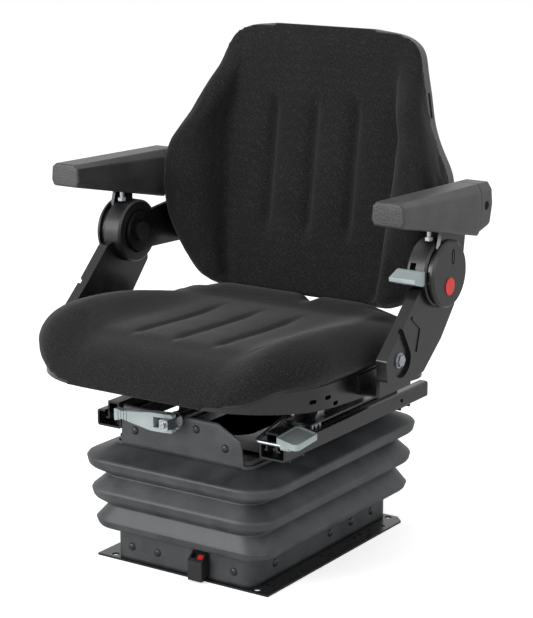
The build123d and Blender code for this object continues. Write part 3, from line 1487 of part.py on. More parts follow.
# Every node of the seat by name
nodes = {
    "base_plate": base_plate(),
    "lower_roller_tracks": roller_track(base_thickness),
    "base_brackets": base_brackets(),
    "lower_pivot_shaft": pivot_shaft(pivot_z),
    "bump_stops": bump_stops(),
    "scissor_outer": scissor_outer(),
    "scissor_inner": scissor_inner(),
    "centre_bolts": centre_bolts(),
    "upper_roller_shaft": roller_shaft(upper_pivot_z),
    "lower_roller_shaft": roller_shaft(pivot_z),
    "upper_rollers": rollers(upper_pivot_z),
    "lower_rollers": rollers(pivot_z),
    "extension_springs": extension_springs(),
    "damper_body": damper_body(),
    "damper_rod": damper_rod(),
    "bellows": bellows(),
    "lower_bellows_rivets": lower_rivets(),
    "upper_bellows_rivets": upper_rivets(),
    "indicator_housing": indicator_housing(),
    "indicator_flag": indicator_flag(),
    "upper_frame": upper_frame(),
    "upper_roller_tracks": upper_tracks(),
    "frame_brackets": frame_brackets(),
    "upper_pivot_shaft": pivot_shaft(upper_pivot_z),
    "spindle_bearing": spindle_bearing(),
    "adjuster_spindle": spindle(),
    "spring_yoke": spring_yoke(),
    "fork_pin": fork_pin(),
    "weight_handle": weight_handle(),
    "lower_rail_right": lower_rail(),
    "lower_rail_left": other_side(lower_rail()),
    "upper_rail_right": upper_rail(),
    "upper_rail_left": other_side(upper_rail()),
    "rail_glides": rail_glides(),
    "seat_riser_right": riser(),
    "seat_riser_left": other_side(riser()),
    "latch_shaft": latch_shaft(),
    "slide_bail": slide_bail(),
    "slide_paddle": slide_paddle(),
    "seat_pan": seat_pan(),
    "seat_cushion": seat_cushion(),
    "side_arm_right": side_arm(),
    "side_arm_left": other_side(side_arm()),
    "side_arm_bolts": side_arm_bolts(),
    "recliner_hub_right": hub_body(True),
    "recliner_hub_left": other_side(hub_body(False)),
    "hub_covers": both_sides(hub_cover()),
    "hub_badge": hub_badge(),
    "recliner_lever": recliner_lever(),
    "back_cushion": back_cushion(),
    "back_shell": back_shell(),
    "back_brackets": both_sides(back_bracket()),
    "armrest_stem_right": armrest_stem(),
    "armrest_pad_right": armrest_pad(),
    "armrest_cap_right": armrest_cap(),
    "stop_screw_right": stop_screw(),
    "armrest_stem_left": other_side(armrest_stem()),
    "armrest_pad_left": other_side(armrest_pad()),
    "armrest_cap_left": other_side(armrest_cap()),
    "stop_screw_left": other_side(stop_screw()),
}

os.makedirs("parts", exist_ok=True)
for name, shape in nodes.items():
    export_step(shape, f"parts/{name}.step")
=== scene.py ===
"""Dresses the tractor suspension seat: upholstery, rubber boot, armrest pads, finishes and the studio."""

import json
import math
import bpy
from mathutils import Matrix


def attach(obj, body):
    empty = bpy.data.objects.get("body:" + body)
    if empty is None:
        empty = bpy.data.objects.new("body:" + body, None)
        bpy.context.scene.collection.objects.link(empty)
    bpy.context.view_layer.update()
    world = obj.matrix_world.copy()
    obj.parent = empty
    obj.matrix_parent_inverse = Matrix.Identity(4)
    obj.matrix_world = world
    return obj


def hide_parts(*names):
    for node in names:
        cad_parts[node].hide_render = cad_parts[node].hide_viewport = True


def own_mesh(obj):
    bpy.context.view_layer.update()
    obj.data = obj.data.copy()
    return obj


bl_info = {
    "name": "Tractor suspension seat",
    "version": (1, 0, 0),
    "blender": (4, 5, 0),
    "location": "3D Viewport > Sidebar > Seat",
    "description": "Upholstery, rubber boot, finishes and studio for a tractor suspension seat",
    "category": "Object",
}

import bmesh
import bpy
import numpy as np
from mathutils import Vector

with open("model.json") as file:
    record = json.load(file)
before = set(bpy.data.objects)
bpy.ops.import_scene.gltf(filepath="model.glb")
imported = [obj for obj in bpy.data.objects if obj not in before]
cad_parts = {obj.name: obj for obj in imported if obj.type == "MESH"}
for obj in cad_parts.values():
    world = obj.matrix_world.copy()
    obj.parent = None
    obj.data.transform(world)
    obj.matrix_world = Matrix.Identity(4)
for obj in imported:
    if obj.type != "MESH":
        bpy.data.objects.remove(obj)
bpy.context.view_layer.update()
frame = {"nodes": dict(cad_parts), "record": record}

# Sizes shared by the pieces, in millimetres and degrees; pairs are of Y and Z, or X and Z for the spindle
hub_axis = (50.0, 439.0)
spindle_at = (-6.0, 233.0)
spindle_hole_radius = 7.4
back_lean = 8.3
panel_depth, foam_rear = 84.0, 92.0
cushion_half_x, cushion_front_y, cushion_rear_y = 241.0, -301.0, 127.0
cushion_corner, cushion_rear_corner = 138.0, 50.0
pan_half_x, pan_front_y, pan_rear_y = 235.0, -288.0, 118.0
pan_corner, pan_rear_corner, pan_wall = 136.0, 40.0, 2.0
rim_z, front_rim_z, pan_dip = 318.0, 298.0, 42.0
floor_at_zero, floor_slope = 272.9, 0.0595
boot_half_x, boot_half_y, boot_corner, boot_wall = 120.0, 189.0, 14.0, 2.5
boot_bottom_z, lobes_bottom_z, boot_top_z = 3.0, 44.0, 178.5
pad_middle_x, pad_half_width = 280.5, 25.5
pad_front_y, pad_rear_y, cap_rear_y = -95.0, 127.0, 162.0


def linear(code):
    """Linear colour of an sRGB hex code."""
    parts = [int(code[i:i + 2], 16) / 255 for i in (1, 3, 5)]
    return [c / 12.92 if c <= 0.04045 else ((c + 0.055) / 1.055) ** 2.4 for c in parts] + [1.0]


def add(tree, kind, links=None, **settings):
    """Adds a node; links holds socket values or the outputs that feed them."""
    node = tree.nodes.new(kind)
    for key, value in settings.items():
        setattr(node, key, value)
    for key, value in (links or {}).items():
        if isinstance(value, bpy.types.NodeSocket):
            tree.links.new(value, node.inputs[key])
        else:
            node.inputs[key].default_value = value
    return node


def ramp(tree, factor, stops):
    """Colour ramp with stops of position and hex code."""
    node = add(tree, "ShaderNodeValToRGB", {"Fac": factor})
    elements = node.color_ramp.elements
    while len(elements) < len(stops):
        elements.new(0.5)
    for element, (place, code) in zip(elements, stops):
        element.position = place
        element.color = linear(code)
    return node.outputs["Color"]


def new_material(name, **values):
    """Empty material with one Principled shader and its Object coordinates."""
    material = bpy.data.materials.new(name)
    material.use_nodes = True
    tree = material.node_tree
    tree.nodes.clear()
    shader = add(tree, "ShaderNodeBsdfPrincipled", values)
    add(tree, "ShaderNodeOutputMaterial", {"Surface": shader.outputs[0]})
    coords = add(tree, "ShaderNodeTexCoord").outputs["Object"]
    return material, tree, shader, coords


def bump(tree, shader, height, distance, strength):
    """Bump from a height, in metres."""
    node = add(tree, "ShaderNodeBump", {"Height": height, "Distance": distance, "Strength": strength})
    tree.links.new(node.outputs[0], shader.inputs["Normal"])


# Materials

def woven_cloth():
    """Upholstery cloth, woven from black and charcoal polyester: tufts of 2.4 mm on faint diagonal ribs."""
    material, tree, shader, coords = new_material("woven_polyester_cloth", Roughness=0.92)
    tufts = add(tree, "ShaderNodeTexVoronoi", {"Vector": coords, "Scale": 420.0, "Randomness": 0.75})
    ribs = add(tree, "ShaderNodeTexWave", {
        "Vector": coords, "Scale": 62.0, "Distortion": 1.2, "Detail": 1.0, "Detail Scale": 2.0,
    }, bands_direction="DIAGONAL")
    patches = add(tree, "ShaderNodeTexNoise", {"Vector": coords, "Scale": 16.0, "Detail": 3.0})
    pile = add(tree, "ShaderNodeMath", {0: tufts.outputs["Distance"], 1: 0.8}, operation="MULTIPLY")
    pile = add(tree, "ShaderNodeMath", {
        0: ribs.outputs["Fac"], 1: 0.06, 2: pile.outputs[0],
    }, operation="MULTIPLY_ADD")
    shade = add(tree, "ShaderNodeMath", {
        0: patches.outputs["Fac"], 1: 0.22, 2: pile.outputs[0],
    }, operation="MULTIPLY_ADD")
    colour = ramp(tree, shade.outputs[0], [(0.16, "#08080a"), (0.5, "#121213"), (0.95, "#29292b")])
    tree.links.new(colour, shader.inputs["Base Color"])
    shader.inputs["Sheen Weight"].default_value = 0.12
    shader.inputs["Sheen Roughness"].default_value = 0.45
    shader.inputs["Specular IOR Level"].default_value = 0.25
    bump(tree, shader, pile.outputs[0], 0.0009, 0.55)
    return material


def black_enamel():
    """Black enamel on pressed steel: glossy, with the faint orange peel of sprayed paint."""
    material, tree, shader, coords = new_material("black_enamel_on_steel", Roughness=0.24)
    peel = add(tree, "ShaderNodeTexNoise", {"Vector": coords, "Scale": 260.0, "Detail": 2.0})
    dust = add(tree, "ShaderNodeTexNoise", {"Vector": coords, "Scale": 22.0, "Detail": 5.0})
    colour = ramp(tree, dust.outputs["Fac"], [(0.35, "#0c0c0d"), (0.7, "#17181a")])
    tree.links.new(colour, shader.inputs["Base Color"])
    rough = add(tree, "ShaderNodeMapRange", {"Value": dust.outputs["Fac"], "To Min": 0.18, "To Max": 0.36})
    tree.links.new(rough.outputs[0], shader.inputs["Roughness"])
    bump(tree, shader, peel.outputs["Fac"], 0.0002, 0.25)
    return material


def zinc_plate():
    """Bright zinc plating on turned steel: pale blue-grey metal with fine marks round the bar."""
    material, tree, shader, coords = new_material("zinc_plated_steel", Metallic=1.0, Roughness=0.34)
    marks = add(tree, "ShaderNodeTexNoise", {"Vector": coords, "Scale": 350.0, "Detail": 3.0})
    colour = ramp(tree, marks.outputs["Fac"], [(0.3, "#8c9094"), (0.7, "#b9bcbf")])
    tree.links.new(colour, shader.inputs["Base Color"])
    rough = add(tree, "ShaderNodeMapRange", {"Value": marks.outputs["Fac"], "To Min": 0.26, "To Max": 0.45})
    tree.links.new(rough.outputs[0], shader.inputs["Roughness"])
    bump(tree, shader, marks.outputs["Fac"], 0.0001, 0.2)
    return material


def moulded(name, dark, light, roughness, grain, depth):
    """Moulded plastic or rubber with a spark-eroded grain of the given cells per metre."""
    material, tree, shader, coords = new_material(name, Roughness=roughness)
    cells = add(tree, "ShaderNodeTexVoronoi", {"Vector": coords, "Scale": grain, "Randomness": 1.0})
    cloud = add(tree, "ShaderNodeTexNoise", {"Vector": coords, "Scale": 24.0, "Detail": 4.0})
    tree.links.new(ramp(tree, cloud.outputs["Fac"], [(0.3, dark), (0.7, light)]), shader.inputs["Base Color"])
    rough = add(tree, "ShaderNodeMapRange", {
        "Value": cloud.outputs["Fac"], "To Min": roughness - 0.06, "To Max": roughness + 0.08,
    })
    tree.links.new(rough.outputs[0], shader.inputs["Roughness"])
    bump(tree, shader, cells.outputs["Distance"], depth, 0.35)
    return material


def finishes():
    """Every finish by the name of its material slot."""
    return {
        "seat_fabric": woven_cloth(),
        "black_steel": black_enamel(),
        "zinc_steel": zinc_plate(),
        # Natural nylon, machined: waxy off-white
        "nylon": moulded("natural_nylon", "#b9b7ab", "#cfcdc2", 0.45, 900.0, 0.0001),
        # Solid rubber buffers: matt black
        "buffer_rubber": moulded("buffer_rubber", "#161616", "#202020", 0.75, 700.0, 0.0002),
        # Compression-moulded rubber: dull charcoal with a faint bloom
        "bellows_rubber": moulded("moulded_boot_rubber", "#2a2c2e", "#434547", 0.48, 520.0, 0.0003),
        # Glass-filled nylon: near-black with a soft shine
        "black_plastic": moulded("black_glass_filled_nylon", "#131314", "#1d1d1f", 0.38, 800.0, 0.0002),
        # Integral-skin foam and textured shell: charcoal with a coarse grain of about 2 mm
        "grey_plastic": moulded("grained_charcoal_plastic", "#2c2c2e", "#3f3f41", 0.42, 460.0, 0.0009),
        # Moulded levers: pale blue-grey
        "lever_plastic": moulded("pale_grey_nylon", "#97a2a3", "#a9b3b4", 0.4, 900.0, 0.0002),
        # Plain red insert
        "red_plastic": moulded("red_plastic", "#d3241b", "#e63027", 0.3, 900.0, 0.0001),
    }


# Mesh making

def make_object(name, points, faces, smooth=True):
    """Object at the origin from points in metres, with outward normals."""
    mesh = bpy.data.meshes.new(name)
    mesh.from_pydata(points.tolist(), [], faces)
    mesh.update()
    work = bmesh.new()
    work.from_mesh(mesh)
    bmesh.ops.remove_doubles(work, verts=work.verts, dist=1e-6)
    bmesh.ops.recalc_face_normals(work, faces=work.faces)
    work.to_mesh(mesh)
    work.free()
    mesh.polygons.foreach_set("use_smooth", [smooth] * len(mesh.polygons))
    piece = bpy.data.objects.new(name, mesh)
    bpy.context.scene.collection.objects.link(piece)
    return piece


def ring_faces(rows, columns):
    """Quads between rows of closed rings, and a fan at each end."""
    i, j = np.meshgrid(np.arange(rows - 1), np.arange(columns), indexing="ij")
    a = i * columns + j
    b = i * columns + (j + 1) % columns
    quads = np.stack([a, b, b + columns, a + columns], -1).reshape(-1, 4).tolist()
    first, last = rows * columns, rows * columns + 1
    top = (rows - 1) * columns
    fans = [(first, (k + 1) % columns, k) for k in range(columns)]
    fans += [(last, top + k, top + (k + 1) % columns) for k in range(columns)]
    return quads + fans


def ring_solid(name, rings, smooth=True):
    """Closed solid from rings (rows, columns, 3), in millimetres, with a fan over the first and the last."""
    rows, columns = rings.shape[:2]
    points = np.concatenate([rings.reshape(-1, 3), rings[:1].mean(1), rings[-1:].mean(1)]) / 1000
    return make_object(name, points, ring_faces(rows, columns), smooth)


def ring_torus(name, rings):
    """Closed tube from an array of rings whose last ring joins the first, in millimetres."""
    rows, columns = rings.shape[:2]
    i, j = np.meshgrid(np.arange(rows), np.arange(columns), indexing="ij")
    a, b = i * columns + j, i * columns + (j + 1) % columns
    c, d = ((i + 1) % rows) * columns + (j + 1) % columns, ((i + 1) % rows) * columns + j
    return make_object(name, rings.reshape(-1, 3) / 1000, np.stack([a, b, c, d], -1).reshape(-1, 4).tolist())


def rounded_ring(count, half_x, y0, y1, front_r, rear_r):
    """Points round a rectangle with quarter-round corners, evenly spaced along its length."""
    def corner(cx, cy, r, start):
        a = np.radians(start + np.linspace(0, 90, 24))
        return np.stack([cx + r * np.cos(a), cy + r * np.sin(a)], -1)
    rear_x, front_x = half_x - rear_r, half_x - front_r
    line = np.concatenate([
        corner(rear_x, y1 - rear_r, rear_r, 0), corner(-rear_x, y1 - rear_r, rear_r, 90),
        corner(-front_x, y0 + front_r, front_r, 180), corner(front_x, y0 + front_r, front_r, 270),
    ])
    return even_loop(line, count)


def even_loop(line, count):
    """Closed line of points, taken again at even steps of its length."""
    closed = np.concatenate([line, line[:1]])
    step = np.linalg.norm(np.diff(closed, axis=0), axis=1)
    along = np.concatenate([[0], np.cumsum(step)])
    at = np.linspace(0, along[-1], count, endpoint=False)
    return np.stack([np.interp(at, along, closed[:, k]) for k in (0, 1)], -1)


def smooth_step(value, low, high):
    """0 below low, 1 above high, and a cubic between."""
    t = np.clip((value - low) / (high - low), 0, 1)
    return t * t * (3 - 2 * t)


def edge_distance(points, loop):
    """Distance of each point from a closed line of points."""
    gap = points[..., None, :] - loop
    return np.sqrt((gap ** 2).sum(-1)).min(-1)


def edge_roll(distance, width, drop):
    """Drop of a rounded edge: an ellipse's quarter, upright where the distance is 0."""
    t = 1 - np.clip(distance / width, 0, 1)
    return drop * (1 - np.sqrt(np.clip(1 - t * t, 0, 1)))


def outline_sides(loop):
    """Shares of front, side and rear in the outward direction at each point of a closed line."""
    along = np.roll(loop, -1, 0) - np.roll(loop, 1, 0)
    normal = np.stack([along[:, 1], -along[:, 0]], -1) / np.linalg.norm(along, axis=1)[:, None]
    front = np.clip(-normal[:, 1], 0, 1) ** 2
    rear = np.clip(normal[:, 1], 0, 1) ** 2
    return front, 1 - front - rear, rear


# Cloth

def inflate(piece, held, pressure, cap, voxel=0.005):
    """Voxel remeshes a padded piece, blows it up as cloth and keeps each point within cap of its start.

    held gives each point's hold, 0 to 1, from its place in millimetres.
    """
    scene = bpy.context.scene
    remesh = piece.modifiers.new("remesh", "REMESH")
    remesh.mode = "VOXEL"
    remesh.voxel_size = voxel
    apply_modifiers(piece)
    mesh = piece.data
    start = read_points(mesh)
    group = piece.vertex_groups.new(name="held")
    hold = np.clip(held(start * 1000), 0, 1)
    for index, weight in enumerate(hold.tolist()):
        if weight > 0:
            group.add([index], weight, "REPLACE")
    cloth = piece.modifiers.new("cloth", "CLOTH")
    settings = cloth.settings
    settings.vertex_group_mass = group.name
    settings.quality = 6
    settings.mass = 0.3
    settings.tension_stiffness = settings.compression_stiffness = 12
    settings.shear_stiffness = 6
    settings.bending_stiffness = 0.6
    settings.use_pressure = True
    settings.uniform_pressure_force = pressure
    settings.effector_weights.gravity = 0
    cloth.collision_settings.use_collision = False
    scene.frame_start, scene.frame_end = 1, 20
    cloth.point_cache.frame_start, cloth.point_cache.frame_end = 1, 20
    for step in range(1, 21):
        scene.frame_set(step)
    shown = piece.evaluated_get(bpy.context.evaluated_depsgraph_get())
    moved = read_points(shown.data) - start
    length = np.linalg.norm(moved, axis=1, keepdims=True)
    limit = cap / 1000
    moved *= limit * np.tanh(length / limit) / np.maximum(length, 1e-9)
    piece.modifiers.clear()
    piece.vertex_groups.clear()
    scene.frame_set(1)
    write_points(mesh, start + moved)
    smooth_points(mesh, 4)
    mesh.polygons.foreach_set("use_smooth", [True] * len(mesh.polygons))


def smooth_points(mesh, rounds):
    """Moves each point towards the mean of its neighbours, forwards then back, so nothing shrinks."""
    points = read_points(mesh)
    edges = np.zeros(len(mesh.edges) * 2, np.int64)
    mesh.edges.foreach_get("vertices", edges)
    a, b = edges.reshape(-1, 2).T
    count = np.bincount(np.concatenate([a, b]), minlength=len(points))[:, None]
    for _ in range(rounds):
        for share in (0.5, -0.52):
            total = np.zeros_like(points)
            np.add.at(total, a, points[b])
            np.add.at(total, b, points[a])
            points += share * (total / np.maximum(count, 1) - points)
    write_points(mesh, points)


def apply_modifiers(piece):
    """Makes the modifiers' result the piece's own mesh."""
    shown = piece.evaluated_get(bpy.context.evaluated_depsgraph_get())
    mesh = bpy.data.meshes.new_from_object(shown)
    old = piece.data
    piece.modifiers.clear()
    piece.data = mesh
    bpy.data.meshes.remove(old)


def read_points(mesh):
    """Points of a mesh as an array."""
    flat = np.zeros(len(mesh.vertices) * 3)
    mesh.vertices.foreach_get("co", flat)
    return flat.reshape(-1, 3)


def write_points(mesh, points):
    """Puts an array of points into a mesh."""
    mesh.vertices.foreach_set("co", points.ravel())
    mesh.update()


def cut(piece, *openings):
    """Cuts openings through a piece: each is a closed line and the way through it, in millimetres."""
    for line, way in openings:
        cutter = ring_solid("cutter", np.array([line - np.array(way), line + np.array(way)]))
        opening = piece.modifiers.new("opening", "BOOLEAN")
        opening.operation = "DIFFERENCE"
        opening.solver = "EXACT"
        opening.object = cutter
        apply_modifiers(piece)
        bpy.data.objects.remove(cutter)


def round_line(place, radius, length, along, up):
    """Closed line round a hole, or a slot of the given length, about a place; along and up span its plane."""
    turn = np.radians(np.arange(0, 360, 7.5))
    reach = np.cos(turn) * radius + np.sign(np.round(np.cos(turn), 6)) * max(length / 2 - radius, 0)
    rise = np.sin(turn) * radius
    return np.array(place) + reach[:, None] * np.array(along) + rise[:, None] * np.array(up)


def shade_flat_edges(piece, angle=35):
    """Smooth shading, with the edges sharper than the angle kept crisp."""
    piece.data.shade_smooth()
    piece.data.set_sharp_from_angle(angle=math.radians(angle))


def subdivide(piece, levels=1):
    """One live level of subdivision, the same in view and render."""
    surface = piece.modifiers.new("surface", "SUBSURF")
    surface.levels = surface.render_levels = levels


def finish_piece(piece, body, slot, material, *nodes):
    """Gives a piece its body, finish and the CAD nodes that it stands for."""
    piece.data.materials.clear()
    piece.data.materials.append(material)
    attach(piece, body)
    if nodes:
        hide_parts(*nodes)


# Seat cushion

def bolster_height(y):
    """Height of the seat's side bolsters along Y: level at the front, falling to the back."""
    stations = (-301, -200, -150, -100, -50, 0, 50, 100, 127)
    heights = (377, 377.5, 377, 374, 368.5, 361.5, 354.5, 349.5, 348)
    return sum(np.interp(y + step, stations, heights) for step in (-12, 0, 12)) / 3


def pan_rim(y):
    """Height of the pan's rim: level, with a half wave down at the front."""
    dip = smooth_step(y, pan_front_y, pan_front_y + pan_dip)
    return front_rim_z + (rim_z - front_rim_z) * dip


def pan_floor(y):
    """Height of the pan's sloping floor."""
    return floor_at_zero - floor_slope * y


def seat_top(x, y, dish):
    """Seat surface: bolsters at both sides, a dish that rises again at the rear, and a small notch there."""
    fade = 1 - 0.88 * smooth_step(y, -120, 118)
    lift = 12.5 * smooth_step(y, 48, 108)
    notch = 12 * np.exp(-((x - 32) / 11) ** 2) * smooth_step(y, 70, 112)
    return bolster_height(y) + (lift - dish * fade) * (1 - smooth_step(np.abs(x), 112, 196)) - notch


def seat_form(sizes):
    """Rings of the seat cushion, from the middle of its underside to the middle of its top.

    The plan is a rounded rectangle. Each ring is the plan drawn in towards the middle line; its height is
    the seat surface less an elliptical edge, then the upright side, the tuck over the pan's rim and the
    floor.
    """
    loop = rounded_ring(
        240, cushion_half_x, cushion_front_y, cushion_rear_y, cushion_corner, cushion_rear_corner,
    )
    front, side, rear = outline_sides(loop)
    centre = np.stack([np.clip(loop[:, 0], -90, 90), np.clip(loop[:, 1], -130, 20)], -1)
    width = 76 * front + 60 * side + 18 * rear
    drop = 61 * front + 39 * side + 15 * rear
    tuck = 19 * front + 11 * side + 13 * rear
    inward = centre - loop
    reach = np.linalg.norm(inward, axis=1)
    unit = inward / reach[:, None]
    rows = []
    for k in range(46):
        t = (k / 45) ** 2
        place = loop + inward * t
        gap = edge_distance(place, loop)
        height = seat_top(place[:, 0], place[:, 1], sizes.dish) - edge_roll(gap, width, drop)
        rows.append(np.column_stack([place, height]))
    top = rows[::-1]
    edge_z = rows[0][:, 2]
    rim = pan_rim(loop[:, 1]) + 1.0
    sides = []
    for k in range(1, 10):
        t = k / 9
        place = loop + unit * (tuck * t ** 3)[:, None]
        sides.append(np.column_stack([place, edge_z + (rim - edge_z) * t]))
    low = []
    for inset, lift in ((0.5, -4.0), (1.5, -12.0)):
        place = loop + unit * (tuck + inset)[:, None]
        low.append(np.column_stack([place, rim + lift]))
    for k in range(1, 12):
        place = loop + unit * (tuck + 2 + (reach - tuck - 2) * k / 11)[:, None]
        low.append(np.column_stack([place, pan_floor(place[:, 1]) + 3]))
    return np.array(top + sides + low)


def pan_rings():
    """Rings of the pan: from the middle of its underside out, up its wall, over the rim, down and back in."""
    outer, inner = [
        rounded_ring(
            240, pan_half_x - inset, pan_front_y + inset, pan_rear_y - inset,
            pan_corner - inset, pan_rear_corner - inset,
        ) for inset in (0.0, pan_wall)
    ]
    rim, floor = pan_rim(outer[:, 1]), pan_floor(outer[:, 1])
    rings = []
    for shrink in (0.02, 0.5, 0.994):
        rings.append(np.column_stack([outer * shrink, pan_floor(outer[:, 1] * shrink)]))
    for share in np.linspace(0.03, 1, 8).tolist():
        rings.append(np.column_stack([outer, floor + (rim - floor) * share]))
    for share in np.linspace(1, 0.06, 8).tolist():
        rings.append(np.column_stack([inner, floor + (rim - floor) * share]))
    for shrink in (0.98, 0.5, 0.02):
        rings.append(np.column_stack([inner * shrink, pan_floor(inner[:, 1] * shrink) + pan_wall]))
    return np.array(rings)


def seat_channels(points, sizes):
    """Depth of the three sewn channels at each point: a rounded valley that fades out at both ends."""
    x, y = points[:, 0], points[:, 1]
    ends = smooth_step(y, -222, -175) * (1 - smooth_step(y, -35, 40))
    depth = np.zeros(len(points))
    for line in (-sizes.channel_pitch, 0, sizes.channel_pitch):
        depth += np.exp(-((x - line) / 5.0) ** 2) + 0.45 * np.exp(-((x - line) / 16.0) ** 2)
    return depth * ends * sizes.channel_depth


# Backrest

def to_seat(points):
    """Backrest coordinates, upright about the hub axis, leant back into place."""
    a = math.radians(back_lean)
    x, y, z = points[..., 0], points[..., 1], points[..., 2]
    return np.stack([
        x, hub_axis[0] + y * math.cos(a) + z * math.sin(a), hub_axis[1] - y * math.sin(a) + z * math.cos(a),
    ], -1)


def to_back(points):
    """Seat coordinates turned upright about the hub axis."""
    a = math.radians(back_lean)
    x, y, z = points[..., 0], points[..., 1] - hub_axis[0], points[..., 2] - hub_axis[1]
    return np.stack([x, y * math.cos(a) - z * math.sin(a), y * math.sin(a) + z * math.cos(a)], -1)


# Backrest stations from the bottom up: height above the hub axis, half width, depth of the front edge
back_stations = np.array([
    (-76, 160, 66), (-62, 184, 57), (-30, 207, 49), (-10, 217, 41), (10, 225, 34), (30, 231, 28),
    (50, 235, 24), (70, 237, 21), (90, 238, 20), (110, 238, 19.5), (130, 236, 19), (150, 227, 18.5),
    (170, 215.5, 23.5), (190, 205.5, 31.5), (210, 197.5, 39), (230, 191.5, 47.5), (250, 187, 58.5),
    (270, 181, 71), (290, 176, 80), (312, 169, 84), (329, 150, 86), (337, 120, 86),
], float)


def back_loop(count):
    """Backrest outline in X and Z: its half outline and the mirror image, rounded by averaging."""
    half = np.concatenate([[(100, -77)], back_stations[:, 1::-1], [(80, 340)]])
    loop = even_loop(np.concatenate([half, half[::-1] * (-1, 1)]), 600)
    for _ in range(30):
        loop = (np.roll(loop, 1, 0) + 2 * loop + np.roll(loop, -1, 0)) / 4
    return even_loop(loop, count)


def back_front(x, z):
    """Depth of the back's front: a flat panel, a sharp crease, and wings rounded like a bolster.

    A wing rises from its crease as a quarter of an ellipse, steep at the crease and level at its crest.
    """
    edge = np.interp(z, back_stations[:, 0], back_stations[:, 2])
    crest = np.interp(z, back_stations[:, 0], back_stations[:, 1]) - 14
    crease = np.minimum(146 + 0.107 * z, crest - 30)
    t = np.clip((np.abs(x) - crease) / (crest - crease), 0, 1)
    rise = np.sqrt(1 - (1 - t) ** 2)
    foot = smooth_step(t, 0, 0.12)
    return panel_depth - (panel_depth - edge) * rise * foot


def back_form(sizes):
    """Rings of the back cushion, from the middle of its rear to the middle of its front."""
    loop = back_loop(320)
    centre = np.stack([np.clip(loop[:, 0], -60, 60), np.clip(loop[:, 1], 30, 250)], -1)
    inward = centre - loop
    rows = []
    for k in range(76):
        place = loop + inward * (k / 75) ** 1.5
        gap = edge_distance(place, loop)
        depth = back_front(place[:, 0], place[:, 1])
        room = np.clip(foam_rear - 4 - depth, 3, 22)
        depth = depth + edge_roll(gap, 18, 1.0) * room
        rows.append(np.column_stack([place[:, 0], depth, place[:, 1]]))
    edge = rows[0][:, 1]
    sides = []
    for k in range(1, 10):
        t = k / 9
        sides.append(np.column_stack([loop[:, 0], edge + (foam_rear - 1 - edge) * t, loop[:, 1]]))
    for k in range(12):
        t = 0.015 + 0.985 * k / 11
        place = loop + inward * t
        sides.append(np.column_stack([place[:, 0], np.full(len(loop), foam_rear - 0.5), place[:, 1]]))
    return to_seat(np.array(rows[::-1] + sides))


def back_channels(points, sizes):
    """Depth of the backrest's three channels at each point, in backrest coordinates."""
    x, z = points[:, 0], points[:, 2]
    ends = smooth_step(z, 2, 48) * (1 - smooth_step(z, 205, 242))
    depth = np.zeros(len(points))
    for line in (-sizes.back_pitch, 0, sizes.back_pitch):
        depth += np.exp(-((x - line) / 7.0) ** 2) + 0.5 * np.exp(-((x - line) / 20.0) ** 2)
    front = 1 - smooth_step(points[:, 1], foam_rear - 5, foam_rear - 3)
    return depth * ends * sizes.back_channel_depth * front


# Rubber boot

def boot_reach(z):
    """Outward reach of the boot's three lobes at a height, at the sides and at the front.

    Going up, each lobe has a short underside, a nearly upright band and a long slope to the next valley.
    """
    levels = np.array([
        (lobes_bottom_z, 0, 0), (52, 30, 18), (56, 34, 21), (64, 37, 24), (67, 34, 22), (87, 15, 13),
        (98, 36, 28), (102, 39.5, 31), (111, 42, 33), (114, 39.5, 31.5), (134, 15, 13), (146, 42, 33),
        (150, 46, 36.5), (160, 48.5, 38.5), (163, 46, 36.5), (boot_top_z, 0, 0),
    ], float)
    return np.interp(z, levels[:, 0], levels[:, 1]), np.interp(z, levels[:, 0], levels[:, 2])


def boot_rings(z, inset, count=160):
    """Rounded rectangles at the heights z, grown by the lobes' reach."""
    reach_x, reach_y = boot_reach(z)
    rings = []
    for height, rx, ry in zip(z.tolist(), reach_x.tolist(), reach_y.tolist()):
        corner, half_y = boot_corner + ry - inset, boot_half_y + ry - inset
        plan = rounded_ring(count, boot_half_x + rx - inset, -half_y, half_y, corner, corner)
        rings.append(np.column_stack([plan, np.full(count, height)]))
    return np.array(rings)


def collar_top(x, y):
    """Height of the upper collar's edge: a high front panel with one corner cut, and raised sides."""
    front = 240 - 22 * np.clip((x - 63.6) / 42.4, 0, 1)
    on_front = smooth_step(-y, 187.5, 188.8) * (1 - smooth_step(np.abs(x), 104, 107))
    on_side = smooth_step(np.abs(x), 118, 119.5) * smooth_step(y, -32, -29) * (1 - smooth_step(y, 151, 154))
    return 184 + 22 * on_side + (front - 184) * on_front


def collar_rings(count=520):
    """Rings of the upper collar: up the outside, over the edge and down the inside."""
    rings = []
    shares = np.concatenate([np.linspace(0, 1, 12), np.linspace(1, 0, 12)])
    insets = np.concatenate([np.zeros(12), np.full(12, boot_wall)])
    insets[11] += 0.6
    insets[12] -= 0.6
    plan = rounded_ring(count, boot_half_x, -boot_half_y, boot_half_y, boot_corner, boot_corner)
    top, foot = collar_top(plan[:, 0], plan[:, 1]), boot_top_z + 0.2
    for share, inset in zip(shares.tolist(), insets.tolist()):
        corner, half_y = boot_corner - inset, boot_half_y - inset
        ring = rounded_ring(count, boot_half_x - inset, -half_y, half_y, corner, corner)
        rings.append(np.column_stack([ring, foot + (top - foot) * share]))
    return np.array(rings)


pad_crease = 0.4


